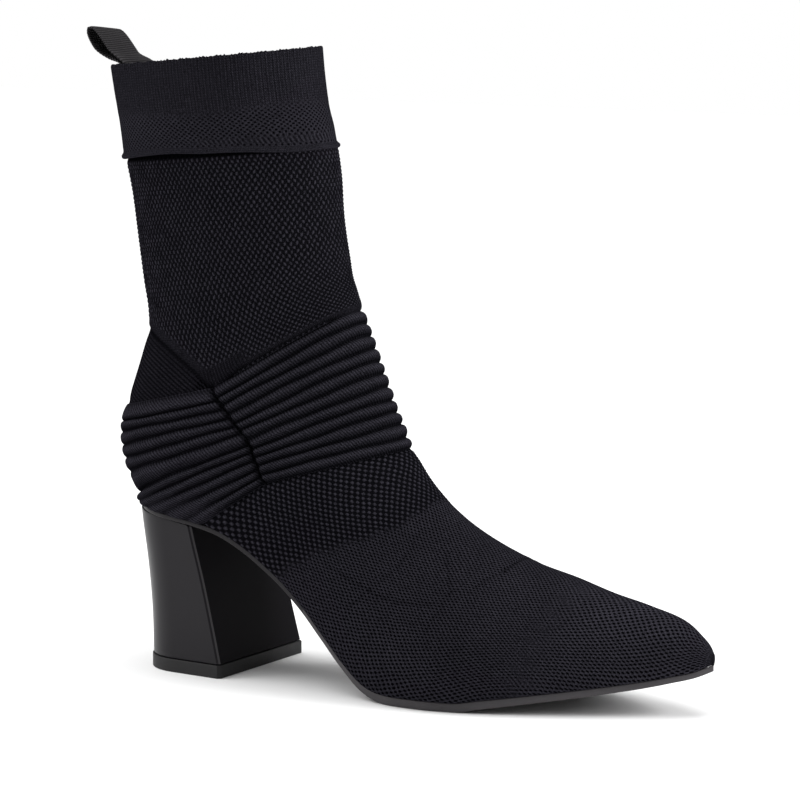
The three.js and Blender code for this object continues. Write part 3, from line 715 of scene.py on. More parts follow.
def yarnShadeAndTone(tree, shader, height, depth):
    # the colour runs from painted shade between the stitches to painted light on the stitch tops, is darkened
    # by painted shade in the valleys, and varies from thread to thread
    twist = mathOf(tree, "MULTIPLY_ADD", noiseOf(tree, yarn["twist"], 2.0), 3.0, -0.5)
    mottle = mathOf(tree, "MULTIPLY_ADD", noiseOf(tree, yarn["mottle"]), 0.5, 0.75)
    shade = mathOf(tree, "MULTIPLY", mathOf(tree, "MULTIPLY", height, twist), mottle)
    # painted shade from the deep mark darkens the valleys, seams and creases
    lit = mathOf(tree, "MULTIPLY_ADD", markOf(tree, "deep"), -yarn["valleyShade"], 1.0)
    shade = mathOf(tree, "MULTIPLY", shade, lit)
    tree.links.new(rampColour(tree, shade, yarn["dark"], yarn["light"]), shader.inputs["Base Color"])
    shader.inputs["Roughness"].default_value = yarn["roughness"]
    shader.inputs["Specular IOR Level"].default_value = yarn["specular"]
    addBump(tree, shader, height, depth)


def cuffCloth():
    # fine ribbing over a band of flat staggered stitches, with a slanted chain over the roll at the foot
    material, tree, shader = nodeKit("cuff_knit")
    u, v = clothUv(tree, 0.5)
    wales = mathOf(tree, "MULTIPLY_ADD", waveOf(tree, u, cuff["ribPitch"], math.pi / 2), 0.16, 0.42)
    loops = mathOf(tree, "MULTIPLY_ADD", fineStitch(tree, u, v, *cuff["stitch"]), 0.9, 0.25)
    ribbing = mathOf(tree, "MULTIPLY_ADD", mathOf(tree, "MULTIPLY", wales, loops), 1.3, 0.08)
    dashes = stagger(tree, u, v, cuff["bandAcross"], cuff["bandCourse"], 0.6)
    band = mathOf(tree, "MULTIPLY_ADD", dashes, -0.6, 0.56)
    height = mixed(tree, markOf(tree, "band"), ribbing, band)
    slanted = mathOf(tree, "MULTIPLY_ADD", v, cuff["chainLean"], u)
    chain = mathOf(tree, "MULTIPLY_ADD", waveOf(tree, slanted, cuff["chainPitch"]), 0.3, 0.42)
    height = mixed(tree, markOf(tree, "chain"), height, chain)
    plain = mathOf(tree, "MULTIPLY_ADD", fineStitch(tree, u, v, *cuff["rollStitch"]), 0.5, 0.3)
    height = mixed(tree, markOf(tree, "roll"), height, plain)
    yarnShadeAndTone(tree, shader, height, cuff["bump"])
    return material


def shaftCloth():
    # staggered bumps with painted shade in a pit under each, and plain stitches beside the back panel and the
    # crease
    material, tree, shader = nodeKit("shaft_knit")
    u, v = clothUv(tree, 1.3)
    chevron = mathOf(tree, "ABSOLUTE", waveOf(tree, u, 2 * shaft["across"]))
    lean = mathOf(tree, "MULTIPLY_ADD", chevron, 0.5, v)
    dots = stagger(tree, u, lean, shaft["across"], shaft["course"], 0.8)
    fine = fineStitch(tree, u, v, *shaft["stitch"])
    moss = mathOf(tree, "MULTIPLY_ADD", fine, 0.2, mathOf(tree, "MULTIPLY_ADD", dots, 1.0, 0.05))
    plain = mathOf(tree, "MULTIPLY_ADD", fine, 0.5, 0.16)
    height = mixed(tree, markOf(tree, "plain"), moss, plain)
    # lines between the panel's ribs, that run with its seam, and between the upright ones: sunk by bump and
    # darkened by painted shade, as is the painted shadow mark
    across = mathOf(tree, "MULTIPLY_ADD", waveOf(tree, markOf(tree, "toPanel"), panel["pitch"]), 0.5, 0.5)
    upright = mathOf(tree, "MULTIPLY_ADD", waveOf(tree, u, panel["uprightPitch"]), 0.5, 0.5)
    lines = mathOf(tree, "MULTIPLY", across, markOf(tree, "panel"))
    lines = mathOf(tree, "MULTIPLY_ADD", upright, markOf(tree, "upright"), lines)
    height = mathOf(tree, "MULTIPLY_ADD", markOf(tree, "panel"), 0.07, height)
    shadow = mathOf(tree, "MAXIMUM", mathOf(tree, "MULTIPLY", lines, 0.9), markOf(tree, "shadow"))
    height = mathOf(tree, "MULTIPLY", height, mathOf(tree, "MULTIPLY_ADD", shadow, -0.95, 1.0))
    yarnShadeAndTone(tree, shader, height, shaft["shadeBump"])
    return material


def ribCloth():
    # slanted teeth along each rib, over fine stitches
    material, tree, shader = nodeKit("rib_knit")
    u, v = clothUv(tree, 0.5)
    slanted = mathOf(tree, "MULTIPLY_ADD", v, ribs["toothLean"], u)
    teeth = mathOf(tree, "MULTIPLY_ADD", waveOf(tree, slanted, ribs["toothPitch"]), 0.34, 0.5)
    height = mathOf(tree, "MULTIPLY_ADD", fineStitch(tree, u, v, *ribs["stitch"]), 0.4, teeth)
    yarnShadeAndTone(tree, shader, height, ribs["bump"])
    return material


def vampCloth():
    # coarse staggered bumps under the ribs, then a fine net of small dark holes that opens up towards the toe
    material, tree, shader = nodeKit("vamp_knit")
    u, v = clothUv(tree, 0.8)
    bumps = stagger(tree, u, v, vamp["coarseAcross"], vamp["coarseCourse"], 0.7)
    holes = stagger(tree, u, v, vamp["netAcross"], vamp["netCourse"], 0.55)
    net = mathOf(tree, "MULTIPLY_ADD", holes, -0.74, 0.58)
    openHoles = stagger(tree, u, v, vamp["toeAcross"], vamp["toeCourse"], 0.5)
    openNet = mathOf(tree, "MULTIPLY_ADD", openHoles, -0.85, 0.7)
    net = mixed(tree, markOf(tree, "open"), net, openNet)
    bumps = mathOf(tree, "MULTIPLY_ADD", bumps, 0.78, 0.07)
    height = mixed(tree, markOf(tree, "coarse"), net, bumps)
    yarnShadeAndTone(tree, shader, height, vamp["bump"])
    return material


# Cuff: from the rolled welt that hangs over the leg up to the scalloped collar edge

cuff = {
    "perSide": 280,
    "weltStation": 28.35,
    "weltRadius": 0.85,
    "weltTop": 28.8,
    "proud": 0.7,  # cuff fabric over the last
    "flare": 0.1,  # more of it just over the roll
    "edgeRadius": 0.8,
    "ribPitch": 1.4,
    "ribRise": 0.06,
    "ribFoot": 31.6,  # station where the ribbing starts
    "stitch": (0.85, 0.95),
    "bandAcross": 2.3,
    "bandCourse": 1.65,
    "chainPitch": 1.9,
    "chainLean": 0.6,
    "rollStitch": (0.6, 0.7),
    "bump": 0.3,
    "loopPitch": 1.4,  # loops along the collar edge
    "loopRise": 0.35,
}
cuffHeight = (legTable["up"][-1] - legTable["up"][-4]) * last["legHeight"]
stationHeight = cuffHeight / (collarStation - cuffStation)  # millimetres to one station


def cuffRows():
    # the rows go round the roll, over a short hollow to the cuff cloth, up it and over its edge
    roll = np.linspace(0, 1.06, 21) * math.pi
    rollStation = cuff["weltStation"] - np.sin(roll) * cuff["weltRadius"] / stationHeight
    rollRise = 0.05 + cuff["weltRadius"] * (1 - np.cos(roll))
    step = np.linspace(0, 1, 10)[1:]
    overRoll = cuff["proud"] + cuff["flare"]
    overStation = rollStation[-1] + step * (cuff["weltTop"] - rollStation[-1])
    overRise = overRoll + (rollRise[-1] - overRoll) * (1 - smoothStep(step, 0, 1)) ** 1.5
    edge = np.linspace(0, 1, 7)[1:] * math.pi / 2
    edgeStart = collarStation - cuff["edgeRadius"] / stationHeight
    clothStation = np.linspace(cuff["weltTop"], edgeStart, 68)[1:]
    edgeStation = edgeStart + np.sin(edge) * cuff["edgeRadius"] / stationHeight
    edgeRise = cuff["proud"] - cuff["edgeRadius"] * (1 - np.cos(edge))
    stations = np.concatenate([rollStation, overStation, clothStation, edgeStation])
    flare = 1 - smoothStep(clothStation, cuff["weltTop"], cuff["ribFoot"])
    clothRise = cuff["proud"] + cuff["flare"] * flare
    rises = np.concatenate([rollRise, overRise, clothRise, edgeRise])
    # a few rows low on the cloth are left out, so that the inner face gets whole steps
    spare = len(rollStation) + len(overStation) + 2 + np.arange((len(stations) - 1) % inside)
    return np.delete(stations, spare), np.delete(rises, spare)


def cuffRelief(sheet):
    # shallow upright ribs over the band
    ribbing = smoothStep(sheet["station"], cuff["ribFoot"] - 0.4, cuff["ribFoot"] + 0.4)
    return cuff["ribRise"] * ribbing * np.cos(sheet["around"] * 2 * math.pi / cuff["ribPitch"])


def cuffMarks(sheet):
    # where the band of flat stitches, the chain over the roll and the roll itself lie
    station, share = sheet["station"], sheet["share"]
    foot = cuff["ribFoot"] + 0.25 * np.cos(9 * share + 1)
    return {
        "band": 1 - smoothStep(station, foot - 0.7, foot + 0.7),
        "chain": bellCurve(station - 29.0, 0.13) * smoothStep(share, -0.55, -0.4),
        "roll": 1 - smoothStep(station, 28.6, 28.75),
    }


def cuffDrop(sheet):
    # loops stand along the collar edge, of uneven height, and the roll hangs in slow waves
    around, share = sheet["around"], sheet["share"]
    loops = np.cos(around * 2 * math.pi / cuff["loopPitch"])
    loops += 0.5 * np.cos(around * 0.83) + 0.35 * np.cos(around * 2.1 + 1)
    edge = smoothStep(sheet["station"], collarStation - 0.6, collarStation)
    waves = 0.7 * bellCurve(share + 0.55, 0.1) - 2.5 * bellCurve(share, 0.3) + 0.2 * np.cos(19 * share)
    waves -= 0.6 * smoothStep(abs(share), 0.7, 0.95)
    foot = 1 - smoothStep(sheet["station"], cuff["weltStation"] + 0.2, cuff["weltTop"] + 1)
    return cuff["loopRise"] * edge * loops + foot * waves


cuffStations, cuffRise = cuffRows()
cuffSheet = sheetOf(cuffStations, cuff["perSide"])
cuffFall = cuffDrop(cuffSheet)
wallPiece(
    "upper_cuff",
    cuffStations,
    cuff["perSide"],
    cuffRelief,
    cuffCloth(),
    rowRise=cuffRise[:, None],
    drop=cuffFall,
    marks=cuffMarks,
)

# Shaft: staggered stitches from the fold over the ribs up under the welt, and the ribbed panel at its back

shaft = {
    "perSide": 244,
    "rows": 180,
    "across": 2.35,
    "course": 3.2,
    "bump": 0.32,
    "stitch": (0.7, 0.75),
    "shadeBump": 0.45,
    "sunkTop": 0.7,  # under the welt
    "top": 28.3,  # station of its last row, behind the welt
}
panel = {
    "top": (18.6, 128.3),  # ends of its seam in the side view, x and z
    "low": (50.2, 111.9),
    "bulge": 2.0,
    "pitch": 1.5,
    "uprightPitch": 1.45,
    "seam": 0.7,
    "seamWidth": 0.7,
    "sunk": 0.75,  # deepest beside the seam
    "plainEdge": 4.0,  # width of the plain strip over the seam
}


def toPanel(sheet):
    # distance in millimetres from the slanted seam of the back panel in the side view, positive above it
    x, z = sheet["point"][..., 0], sheet["point"][..., 2]
    runX, runZ = panel["low"][0] - panel["top"][0], panel["low"][1] - panel["top"][1]
    long = math.hypot(runX, runZ)
    offX, offZ = x - panel["top"][0], z - panel["top"][1]
    along = (offX * runX + offZ * runZ) / long / long
    return (offZ * runX - offX * runZ) / long - panel["bulge"] * (1 - (2 * along - 1) ** 2)


def aboveCrease(sheet):
    # strip of upright ribbing beside the back panel, just over the crease
    share = abs(sheet["share"])
    strip = smoothStep(share, 0.34, 0.4) * (1 - smoothStep(share, 0.52, 0.56))
    return strip * (1 - smoothStep(sheet["station"], 11.75, 12.0))


def shaftMarks(sheet):
    # where plain stitches, the back panel and the upright ribs lie, how far the panel is, and the painted
    # shadow beside the panel's seam, in the panel and under the welt, less of it just over the fold
    away = toPanel(sheet)
    beside = 1 - smoothStep(away, panel["plainEdge"] - 1.2, panel["plainEdge"] + 1.2)
    behind = smoothStep(abs(sheet["share"]), 0.3, 0.4)
    overFold = smoothStep(sheet["toSeam"], 0, 3) * (1 - smoothStep(sheet["station"], 11.3, 11.55))
    inPanel = (1 - smoothStep(away, -0.9, -0.2)) * behind
    # painted shadow: darker beside the seam, inside the panel and under the overhanging welt
    shadow = np.maximum(0.95 * behind * bellCurve(away + 0.4, 1.1), 0.5 * inPanel * bellCurve(away, 4.5))
    shadow = np.maximum(shadow, smoothStep(sheet["station"], 27.55, 27.95))
    return {
        "plain": np.maximum(np.maximum(beside * behind, aboveCrease(sheet)), overFold),
        "panel": inPanel,
        "upright": 0.8 * aboveCrease(sheet),
        "toPanel": away,
        "shadow": shadow - 0.5 * foldAhead(sheet) * bellCurve(sheet["station"] - 11.38, 0.13),
    }


def shaftRelief(sheet):
    # staggered bumps kept off both ends, and the back panel sunk along its seam
    ends = smoothStep(sheet["station"], 11.3, 12.0) * (1 - smoothStep(sheet["station"], 27.4, 27.9))
    u, v = np.moveaxis(risingCloth(sheet), -1, 0)
    lean = v + 0.5 * abs(np.sin(u * math.pi / shaft["across"]))
    wave = np.sin(u * 2 * math.pi / shaft["across"]) * np.sin(lean * 2 * math.pi / shaft["course"])
    away = toPanel(sheet)
    marks = shaftMarks(sheet)
    sunk = panel["sunk"] * (0.25 + 0.75 * bellCurve(away, 4.5))
    rise = shaft["bump"] * ends * (1 - marks["plain"]) * np.maximum(wave, 0) ** 0.7
    rise -= marks["panel"] * sunk
    rise -= panel["seam"] * bellCurve(away, panel["seamWidth"]) * smoothStep(abs(sheet["share"]), 0.3, 0.4)
    return rise - shaft["sunkTop"] * smoothStep(sheet["station"], 27.7, 28.15)


shaftStations = np.linspace(ribs["count"], shaft["top"], shaft["rows"] + 1)
wallPiece(
    "upper_shaft",
    shaftStations,
    shaft["perSide"],
    shaftRelief,
    shaftCloth(),
    marks=shaftMarks,
    cloth=risingCloth,
)

# Ankle: the fan of ribs

ankle = {"perSide": 164, "rows": 264, "tuck": 0.06, "tuckDepth": 0.35}
ankleRows = np.linspace(0, ribs["count"], ankle["rows"] - 1)
ankleStations = np.concatenate([[-ankle["tuck"]], ankleRows, [ribs["count"] + ankle["tuck"]]])


def ankleRelief(sheet):
    # the first and last row are tucked under the neighbouring cloth
    beyond = np.maximum(-sheet["station"], sheet["station"] - ribs["count"])
    return -ankle["tuckDepth"] * smoothStep(beyond, 0, ankle["tuck"])


wallPiece("upper_ribs", ankleStations, ankle["perSide"], ankleRelief, ribCloth())

# Vamp and toe

vamp = {
    "perSide": 168,
    "rows": 268,
    "coarseAcross": 2.6,
    "coarseCourse": 3.0,
    "coarseBump": 0.22,
    "netAcross": 1.5,
    "netCourse": 2.5,
    "toeAcross": 1.85,
    "toeCourse": 2.9,
    "bump": 0.4,
}
# front edge of the coarse stitches
coarseLine = tableOf("share station", [
    [0, -10.8],
    [0.26, -10.8],
    [0.39, -9.9],
    [0.53, -9.0],
    [0.77, -7.8],
    [1, -7.2],
])


def vampMarks(sheet):
    # coarse stitches behind a slanted line, and the open net over the toe
    line = smoothCurve(coarseLine["share"], coarseLine["station"])(abs(sheet["share"]))
    return {
        "coarse": smoothStep(sheet["station"] - line + 0.15 * np.sin(sheet["around"] * 0.5), -0.6, 0.6),
        "open": 1 - smoothStep(sheet["station"], -32, -27),
    }


def vampRelief(sheet):
    # creases, and low bumps under the coarse stitches
    u, v = np.moveaxis(bentCloth(sheet), -1, 0)
    wave = np.sin(u * 2 * math.pi / vamp["coarseAcross"]) * np.sin(v * 2 * math.pi / vamp["coarseCourse"])
    coarse = vampMarks(sheet)["coarse"] * (1 - smoothStep(sheet["station"], -0.8, -0.3))
    return creaseRelief(sheet) + vamp["coarseBump"] * coarse * np.maximum(wave, 0) ** 0.7


vampStations = np.linspace(footTable["station"][0], 0, vamp["rows"] + 1)
wallPiece(
    "upper_vamp",
    vampStations,
    vamp["perSide"],
    vampRelief,
    vampCloth(),
    marks=vampMarks,
    toe=True,
    cloth=bentCloth,
)

# Rings of points carried along a line, closed at both ends by joining their two sides


def ringMesh(name, rings, material, slot, node, sharpAngle=40, uv=None):
    # rings (rows, points, 3) run round the piece, mirrored about their first point, and faces between the
    # mirrored points close both ends
    rows, count = rings.shape[:2]
    index = np.arange(rows * count).reshape(rows, count)
    wrapped = np.concatenate([index, index[:, :1]], 1)
    half = count // 2
    forward = np.arange(half)
    mirror = (count - forward) % count
    caps = []
    for row, flip in ((0, True), (rows - 1, False)):
        ring = index[row]
        near, far = forward[1:-1], mirror[1:-1]
        quads = np.stack([ring[near], ring[near + 1], ring[far - 1], ring[far]], 1)
        ends = np.array([[ring[0], ring[1], ring[-1]], [ring[half], ring[half + 1], ring[half - 1]]])
        caps += [quads[:, ::-1] if flip else quads, ends[:, ::-1] if flip else ends]
    groups = [gridFaces(wrapped)] + caps
    points = rings.reshape(-1, 3)
    # a negative volume means that the faces point inwards, so all of them are turned round
    volume = 0.0
    for group in groups:
        for k in range(1, group.shape[1] - 1):
            a, b, c = points[group[:, 0]], points[group[:, k]], points[group[:, k + 1]]
            volume += np.einsum("ij,ij->", a, np.cross(b, c))
    if volume < 0:
        groups = [group[:, ::-1] for group in groups]
    piece = makeMesh(name, points, groups, uv, None, sharpAngle)
    place(piece, material, slot, node)
    return piece


# darkest and lightest colour, roughness, scale of the grain, its depth in millimetres, and gloss
plainFinishes = {
    "sole_rubber": ((0.036, 0.033, 0.036), (0.05, 0.046, 0.05), 0.42, 400.0, 0.04, 0.25),
    # the shank's finish is darker and duller than the tread's
    "shank_dark": ((0.009, 0.008, 0.0095), (0.014, 0.0125, 0.0145), 0.5, 400.0, 0.04, 0.2),
    "lift_rubber": ((0.006, 0.0058, 0.0065), (0.011, 0.0105, 0.0115), 0.6, 500.0, 0.06, 0.3),
    "heel_lacquer": ((0.005, 0.004, 0.006), (0.0068, 0.0056, 0.0078), 0.36, 35.0, 0.02, 0.19),
    # the breast's copy of the heel lacquer is darker and duller: painted shade
    "breast_shaded_lacquer": ((0.0046, 0.004, 0.0052), (0.006, 0.0052, 0.0066), 0.5, 35.0, 0.02, 0.03),
    # the corner's copy is paler: a painted highlight
    "edge_highlight_lacquer": ((0.03, 0.028, 0.031), (0.04, 0.038, 0.041), 0.35, 35.0, 0.02, 0.3),
    "lining_cloth": ((0.01, 0.01, 0.011), (0.02, 0.02, 0.021), 0.85, 900.0, 0.15, 0.5),
}


def plainFinish(name):
    # a grain of noise varies the colour and roughness a little and gives a fine bump
    low, high, roughness, scale, depth, gloss = plainFinishes[name]
    material, tree, shader = nodeKit(name)
    grain = noiseOf(tree, scale, 5.0)
    tree.links.new(rampColour(tree, grain, low, high), shader.inputs["Base Color"])
    rough = mathOf(tree, "MULTIPLY_ADD", grain, 0.16, roughness - 0.08)
    tree.links.new(rough, shader.inputs["Roughness"])
    shader.inputs["Specular IOR Level"].default_value = gloss
    addBump(tree, shader, grain, depth)
    return material


def ribbedTape():
    # ribbed tape: rounded cross ribs by bump, with painted shade in the lines between them
    material, tree, shader = nodeKit("loop_tape")
    u, v = clothUv(tree)
    cross = mathOf(tree, "MULTIPLY_ADD", waveOf(tree, v, loop["ribPitch"]), 0.42, 0.5)
    grain = mathOf(tree, "MULTIPLY_ADD", noiseOf(tree, 1500.0, 2.0), 0.8, 0.6)
    height = mathOf(tree, "MULTIPLY", cross, grain)
    tree.links.new(rampColour(tree, height, loop["dark"], loop["light"]), shader.inputs["Base Color"])
    shader.inputs["Roughness"].default_value = loop["roughness"]
    shader.inputs["Specular IOR Level"].default_value = loop["specular"]
    addBump(tree, shader, height, loop["bump"])
    return material


# Outsole and insole: boards with rounded edges that follow the sole line

outsole = {
    "inset": 0.5,
    "trim": 0.2,
    "edge": 0.45,
    "gap": 0.05,
    "rows": 200,
    "across": 24,
    "darkTo": 92.0,  # behind it the sole's edge takes a darker, duller finish and shows as a dark line
}
insole = {
    "thick": 2.4,
    "inset": last["wall"] + last["clearance"] + 0.5,
    "shortBack": 1.0,
    "shortFront": 3.0,
    "edge": 0.6,
    "rows": 120,
    "across": 16,
}
flatStart = soleTable["along"][soleTable["rise"] == 0][0] * last["length"]
flatStop = soleTable["along"][soleTable["spring"] == 0][-1] * last["length"]


def soleUnder(x):
    # underside of the outsole: its thickness is set square to the sole line, and the ball lies on the floor
    slope = edgeHeight(x + 0.5) - edgeHeight(x - 0.5)
    thickness = soleCurves["thick"](x / last["length"]) * last["tread"] * np.hypot(1, slope)
    flat = (x >= flatStart) & (x <= flatStop)
    return np.where(flat, 0, np.maximum(0, edgeHeight(x) - last["clearance"] - thickness))


def endwise(a, b, count):
    # places from a to b, closer together towards both ends where the outline rounds off
    even = np.linspace(0, 1, count + 1)
    return a + (b - a) * (even + ((1 - np.cos(math.pi * even)) / 2 - even) * 0.75)


def boardRings(x, inset, top, under, edge, across):
    # each ring goes over the top from the middle to one side, round the edge, back under and up the other
    middle, half = edgeAt(x, inset)
    thick = top - under
    radius = np.minimum(edge, np.minimum(thick * 0.45, half * 0.5))[:, None]
    flat = np.linspace(0, 1, across // 2)[None, :]
    turn = np.linspace(0, math.pi / 2, 5)[None, :]
    reach = half[:, None] - radius
    topY = [reach * flat, reach + radius * np.sin(turn)]
    topDown = [0 * flat + 0 * reach, radius * (1 - np.cos(turn))]
    y = np.concatenate(topY + [topY[1][:, ::-1], topY[0][:, ::-1]], 1)
    down = np.concatenate(topDown, 1)
    z = np.concatenate([top[:, None] - down, under[:, None] + down[:, ::-1]], 1)
    y = np.concatenate([y, -y[:, -2:0:-1]], 1)
    z = np.concatenate([z, z[:, -2:0:-1]], 1)
    return np.stack([x[:, None] + 0 * y, middle[:, None] + y, z], -1)


soleTrim = outsole["inset"] + outsole["trim"]
soleX = endwise(heelEnd + soleTrim, toeEnd - soleTrim, outsole["rows"])
soleTop = edgeHeight(soleX) - outsole["gap"]
soleRings = boardRings(soleX, outsole["inset"], soleTop, soleUnder(soleX), outsole["edge"], outsole["across"])
tread = ringMesh("outsole_tread", soleRings, plainFinish("sole_rubber"), "sole_rubber", "outsole")
tread.data.materials.append(plainFinish("shank_dark"))
faceX = np.zeros(3 * len(tread.data.polygons), np.float32)
tread.data.polygons.foreach_get("center", faceX)
# faces behind the given place take the darker finish of the shank
darkFaces = faceX[::3] < (outsole["darkTo"] + shiftX) * mm
tread.data.polygons.foreach_set("material_index", darkFaces.astype(np.int32))

insoleStart = heelEnd + insole["inset"] + insole["shortBack"]
insoleX = endwise(insoleStart, toeEnd - toeRound - insole["shortFront"], insole["rows"])
insoleUnder = edgeHeight(insoleX) + last["clearance"]
insoleRings = boardRings(
    insoleX, insole["inset"], insoleUnder + insole["thick"], insoleUnder, insole["edge"], insole["across"]
)
ringMesh("insole_board", insoleRings, plainFinish("lining_cloth"), "lining", "insole")

# Block heel and its lift

heel = {
    "topWidth": 56.0,
    "footWidth": 59.0,
    "backWidth": 0.86,  # width at the back, as a share of that at the breast
    "backRound": 19.0,
    "corner": 1.2,
    "rows": 60,
    "edge": 0.45,
    "liftThick": 5.0,
    "liftProud": 0.4,
    "liftRows": 8,
    "liftEdge": 0.3,
    "breastColumns": 11,  # columns of the ring from the middle of the breast to its corner
    # columns round the corner that carry the painted highlight
    "cornerColumns": 2,
}


def heelOutline(share, inset):
    # half outline from the middle of the breast: straight across, a small corner, along the side and round
    # the back by a superellipse
    back = heelBack(share) * last["length"] + inset
    breast = heelBreast(share) * last["length"] - inset
    half = (heel["footWidth"] + (heel["topWidth"] - heel["footWidth"]) * share) / 2 - inset
    corner = heel["corner"]
    backRound = heel["backRound"]

    def width(x):
        return half * (heel["backWidth"] + (1 - heel["backWidth"]) * (x - back) / (breast - back))

    across = np.linspace(0, 1, 12)[None, :] * (half - corner)
    bevel = np.linspace(0, 1, 5)[None, 1:]
    side = np.linspace(0, 1, 24)[None, 1:]
    turn = np.linspace(0, 1, 26)[None, 1:] * math.pi / 2
    bevelX = breast - corner * bevel
    bevelY = half - corner + (width(breast - corner) - half + corner) * bevel
    sideX = breast - corner + (back + backRound - breast + corner) * side
    roundX = back + backRound * (1 - np.sin(turn) ** 0.9)
    roundY = width(roundX) * np.clip(np.cos(turn), 0, 1) ** 0.78
    x = np.concatenate([breast + 0 * across, bevelX, sideX, roundX], 1)
    y = np.concatenate([across, bevelY, width(sideX), roundY], 1)
    y[:, -1] = 0
    return np.concatenate([x, x[:, -2:0:-1]], 1), np.concatenate([y, -y[:, -2:0:-1]], 1)


def roundedRows(count, radius, height):
    # shares of the way up with the inset that rounds both rims
    turn = np.linspace(0, math.pi / 2, 6)
    low = radius * (1 - np.cos(turn)) / height
    inset = radius * (1 - np.sin(turn))
    body = np.linspace(low[-1], 1 - low[-1], count)[1:-1]
    return (
        np.concatenate([low, body, 1 - low[::-1]])[:, None],
        np.concatenate([inset, 0 * body, inset[::-1]])[:, None],
    )


blockFoot = heel["liftThick"] + last["clearance"]
share, inset = roundedRows(heel["rows"], heel["edge"], last["heelHeight"])
outlineX, outlineY = heelOutline(share, inset)
seatX = np.maximum(outlineX, heelEnd + soleTrim)
blockTop = soleUnder(seatX) - last["clearance"]
blockRings = np.stack([outlineX, outlineY, blockFoot + (blockTop - blockFoot) * share], -1)
lacquer = plainFinish("heel_lacquer")
block = ringMesh("heel_block_lacquered", blockRings, lacquer, "heel_lacquer", "heel_block")
# the breast is a flat wrapped face of its own, with painted shade as a darker, duller copy of the lacquer, and
# the corner beside it carries a painted highlight as a paler line
block.data.materials.append(plainFinish("breast_shaded_lacquer"))
block.data.materials.append(plainFinish("edge_highlight_lacquer"))
perRing = blockRings.shape[1]
fromBreast = np.minimum(np.arange(perRing), perRing - 1 - np.arange(perRing))
onCorner = fromBreast - heel["breastColumns"]
shadeHighlightCoat = np.select([onCorner < 0, onCorner < heel["cornerColumns"]], [1, 2], 0)
perFace = np.zeros(len(block.data.polygons), np.int32)
perFace[: (len(blockRings) - 1) * perRing] = np.tile(shadeHighlightCoat, len(blockRings) - 1)
block.data.polygons.foreach_set("material_index", perFace)

share, inset = roundedRows(heel["liftRows"], heel["liftEdge"], heel["liftThick"])
liftX, liftY = heelOutline(0 * share, inset - heel["liftProud"])
liftRings = np.stack([liftX, liftY, heel["liftThick"] * share + 0 * liftX], -1)
ringMesh("heel_lift", liftRings, plainFinish("lift_rubber"), "lift_rubber", "top_lift")

# Pull loop: a folded tape with cross ribs

loop = {
    "width": 20.0,
    "thick": 1.2,
    "height": 14.2,
    "grip": 10.0,
    "skew": 0.1,
    "bow": 1 / (2 * 15.5),  # half the curve of the collar's back, which has a radius of 15.5
    "steps": 360,
    "ribPitch": 0.97,
    "ribRise": 0.1,
    # dark is the painted shade between the cross ribs, and light their tops
    "dark": (0.003, 0.0028, 0.0032),
    "light": (0.034, 0.0315, 0.0345),
    "roughness": 0.6,
    "specular": 0.12,
    "bump": 0.25,
}
collarBackX = float(sectionCurves["back"](collarStation))
collarBackZ = float(edgeHeight(heelEnd) + sectionCurves["up"](collarStation))


def loopRings():
    # a flat oval section carried along the side line of the tape; it is bowed with the collar where it is
    # held and skewed where it is free, and its thickness swells and narrows with each cross rib
    step = np.linspace(0, loopTable["step"][-1], loop["steps"] + 1)
    lean = smoothCurve(loopTable["step"], loopTable["lean"])(step) * loop["height"]
    rows = np.where(loopTable["climb"] < 0, loop["grip"] / -loopTable["climb"][0], loop["height"])
    climb = smoothCurve(loopTable["step"], loopTable["climb"] * rows)(step)
    held = collarBackX + last["wall"] + loop["thick"] / 2 + 3 * last["clearance"]
    x = held + lean
    z = collarBackZ + climb
    run = np.stack([x, z], -1)
    tangent = np.gradient(run, axis=0)
    tangent /= np.linalg.norm(tangent, axis=1, keepdims=True)
    length = lengthAlong(run, 0)
    ripple = loop["ribRise"] * np.sin(length * 2 * math.pi / loop["ribPitch"])[:, None]
    turn = np.linspace(0, 2 * math.pi, 73)[None, :-1]
    flat = np.sign(np.cos(turn)) * abs(np.cos(turn)) ** 0.35 * loop["width"] / 2
    deep = np.sign(np.sin(turn)) * abs(np.sin(turn)) ** 0.5 * (loop["thick"] / 2 + ripple)
    px = x[:, None] - tangent[:, 1:] * deep
    pz = z[:, None] + tangent[:, :1] * deep
    free = smoothStep(pz, collarBackZ + 0.8, collarBackZ + 0.4 * loop["height"])
    bowed = px + (1 - free) * loop["bow"] * flat * flat
    point = np.stack([bowed, flat + 0 * px, pz - free * loop["skew"] * flat], -1)
    uv = np.stack([flat + 0 * px, length[:, None] + 0 * px], -1)
    return point, uv.reshape(-1, 2) / 100


tapePoint, tapeUv = loopRings()
ringMesh("pull_loop_tape", tapePoint, ribbedTape(), "loop_tape", "pull_loop", 60, tapeUv)

# Floor, light and camera

studio = {
    "floor": 6.0,
    "floorColour": (0.93, 0.93, 0.93),
    "floorRoughness": 0.8,
    "room": 0.4,  # light from all round
    "backdrop": 1.0,  # what the camera sees behind the boot
}
bpy.ops.mesh.primitive_plane_add(size=studio["floor"], location=(0, 0, 0))
floor = bpy.context.object
floor.name = "studio_floor"
floorMaterial, _, floorShader = nodeKit("studio_floor")
floorShader.inputs["Base Color"].default_value = (*studio["floorColour"], 1)
floorShader.inputs["Roughness"].default_value = studio["floorRoughness"]
floor.data.materials.append(floorMaterial)

world = bpy.data.worlds.new("studio")
bpy.context.scene.world = world
world.use_nodes = True
room = world.node_tree.nodes["Background"]
room.inputs["Color"].default_value = (1, 1, 1, 1)
seen = world.node_tree.nodes.new("ShaderNodeLightPath")
brighter = studio["backdrop"] - studio["room"]
brightness = mathOf(world.node_tree, "MULTIPLY_ADD", seen.outputs["Is Camera Ray"], brighter, studio["room"])
world.node_tree.links.new(brightness, room.inputs["Strength"])

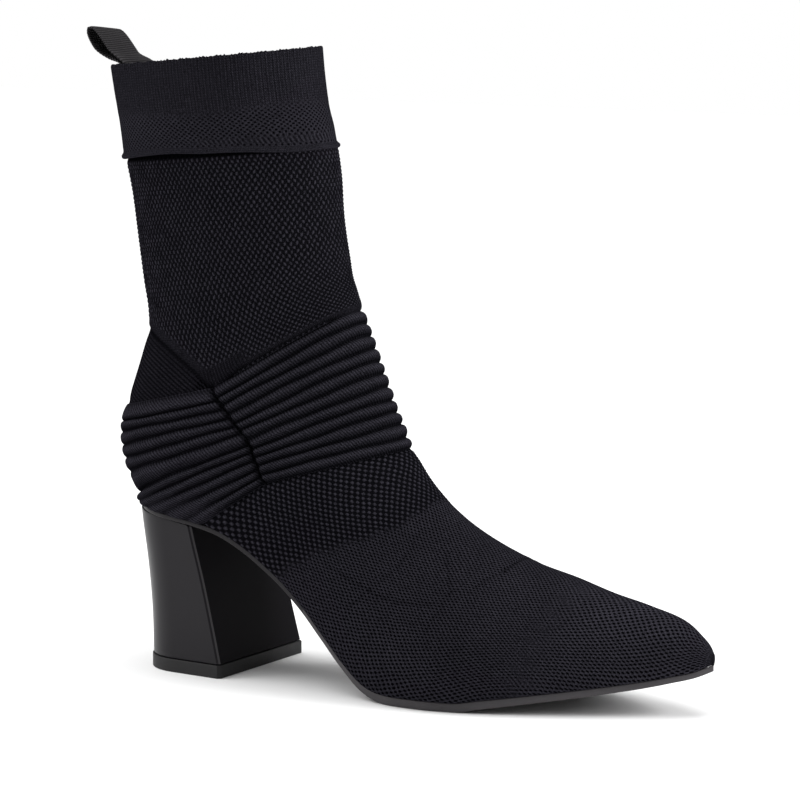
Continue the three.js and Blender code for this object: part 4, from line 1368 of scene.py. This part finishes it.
lamps = {  # name: place and aim in metres, size, power
    "left_softbox": ((-0.9, -0.6, 0.55), (0.06, 0, 0.1), 0.8, 6.0),
    "right_softbox": ((1.1, 0.25, 0.6), (0.08, 0, 0.1), 0.6, 13.0),
}


def aimed(name, light, spot, target):
    # a lamp shines down its own -Z axis, so it is tipped and turned towards its target
    lamp = bpy.data.objects.new(name, light)
    bpy.context.scene.collection.objects.link(lamp)
    lamp.location = spot
    towards = np.array(target) - np.array(spot)
    tip = math.atan2(math.hypot(towards[0], towards[1]), -towards[2])
    lamp.rotation_euler = (tip, 0, math.atan2(towards[1], towards[0]) - math.pi / 2)


for name, (spot, target, size, power) in lamps.items():
    light = bpy.data.lights.new(name, "AREA")
    light.size = size
    light.energy = power
    aimed(name, light, spot, target)

# a wide, soft sun from above, whose spread is in degrees
overhead = {"place": (-0.3, 0.0, 1.6), "target": (0.08, 0, 0.05), "strength": 2.5, "spread": 60}
sun = bpy.data.lights.new("overhead", "SUN")
sun.energy = overhead["strength"]
sun.angle = math.radians(overhead["spread"])
aimed("overhead", sun, overhead["place"], overhead["target"])

view = {  # angles in degrees and lengths in millimetres of the last; the lens is given for 800 pixels across
    "turn": 30.5,
    "lift": 7.8,
    "distance": 1500.0,
    "aim": (117.2, 0.0, 107.1),
    "focalPixels": 4030.0,
    "pixels": 800,
    "sensor": 36.0,
}
camera = bpy.data.cameras.new("photo_view")
cameraObject = bpy.data.objects.new("photo_view", camera)
bpy.context.scene.collection.objects.link(cameraObject)
camera.sensor_width = view["sensor"]
camera.lens = view["focalPixels"] * view["sensor"] / view["pixels"]
camera.clip_end = 20.0
turn, lift = math.radians(view["turn"]), math.radians(view["lift"])
backward = np.array([math.sin(turn) * math.cos(lift), -math.cos(turn) * math.cos(lift), math.sin(lift)])
aim = np.array(view["aim"]) + [shiftX, 0, 0]
cameraObject.location = (aim + backward * view["distance"]) * mm
cameraObject.rotation_euler = (math.pi / 2 - lift, 0, turn)
bpy.context.scene.camera = cameraObject
bpy.context.scene.view_settings.view_transform = "Standard"
print("floor, lamps and camera are set")
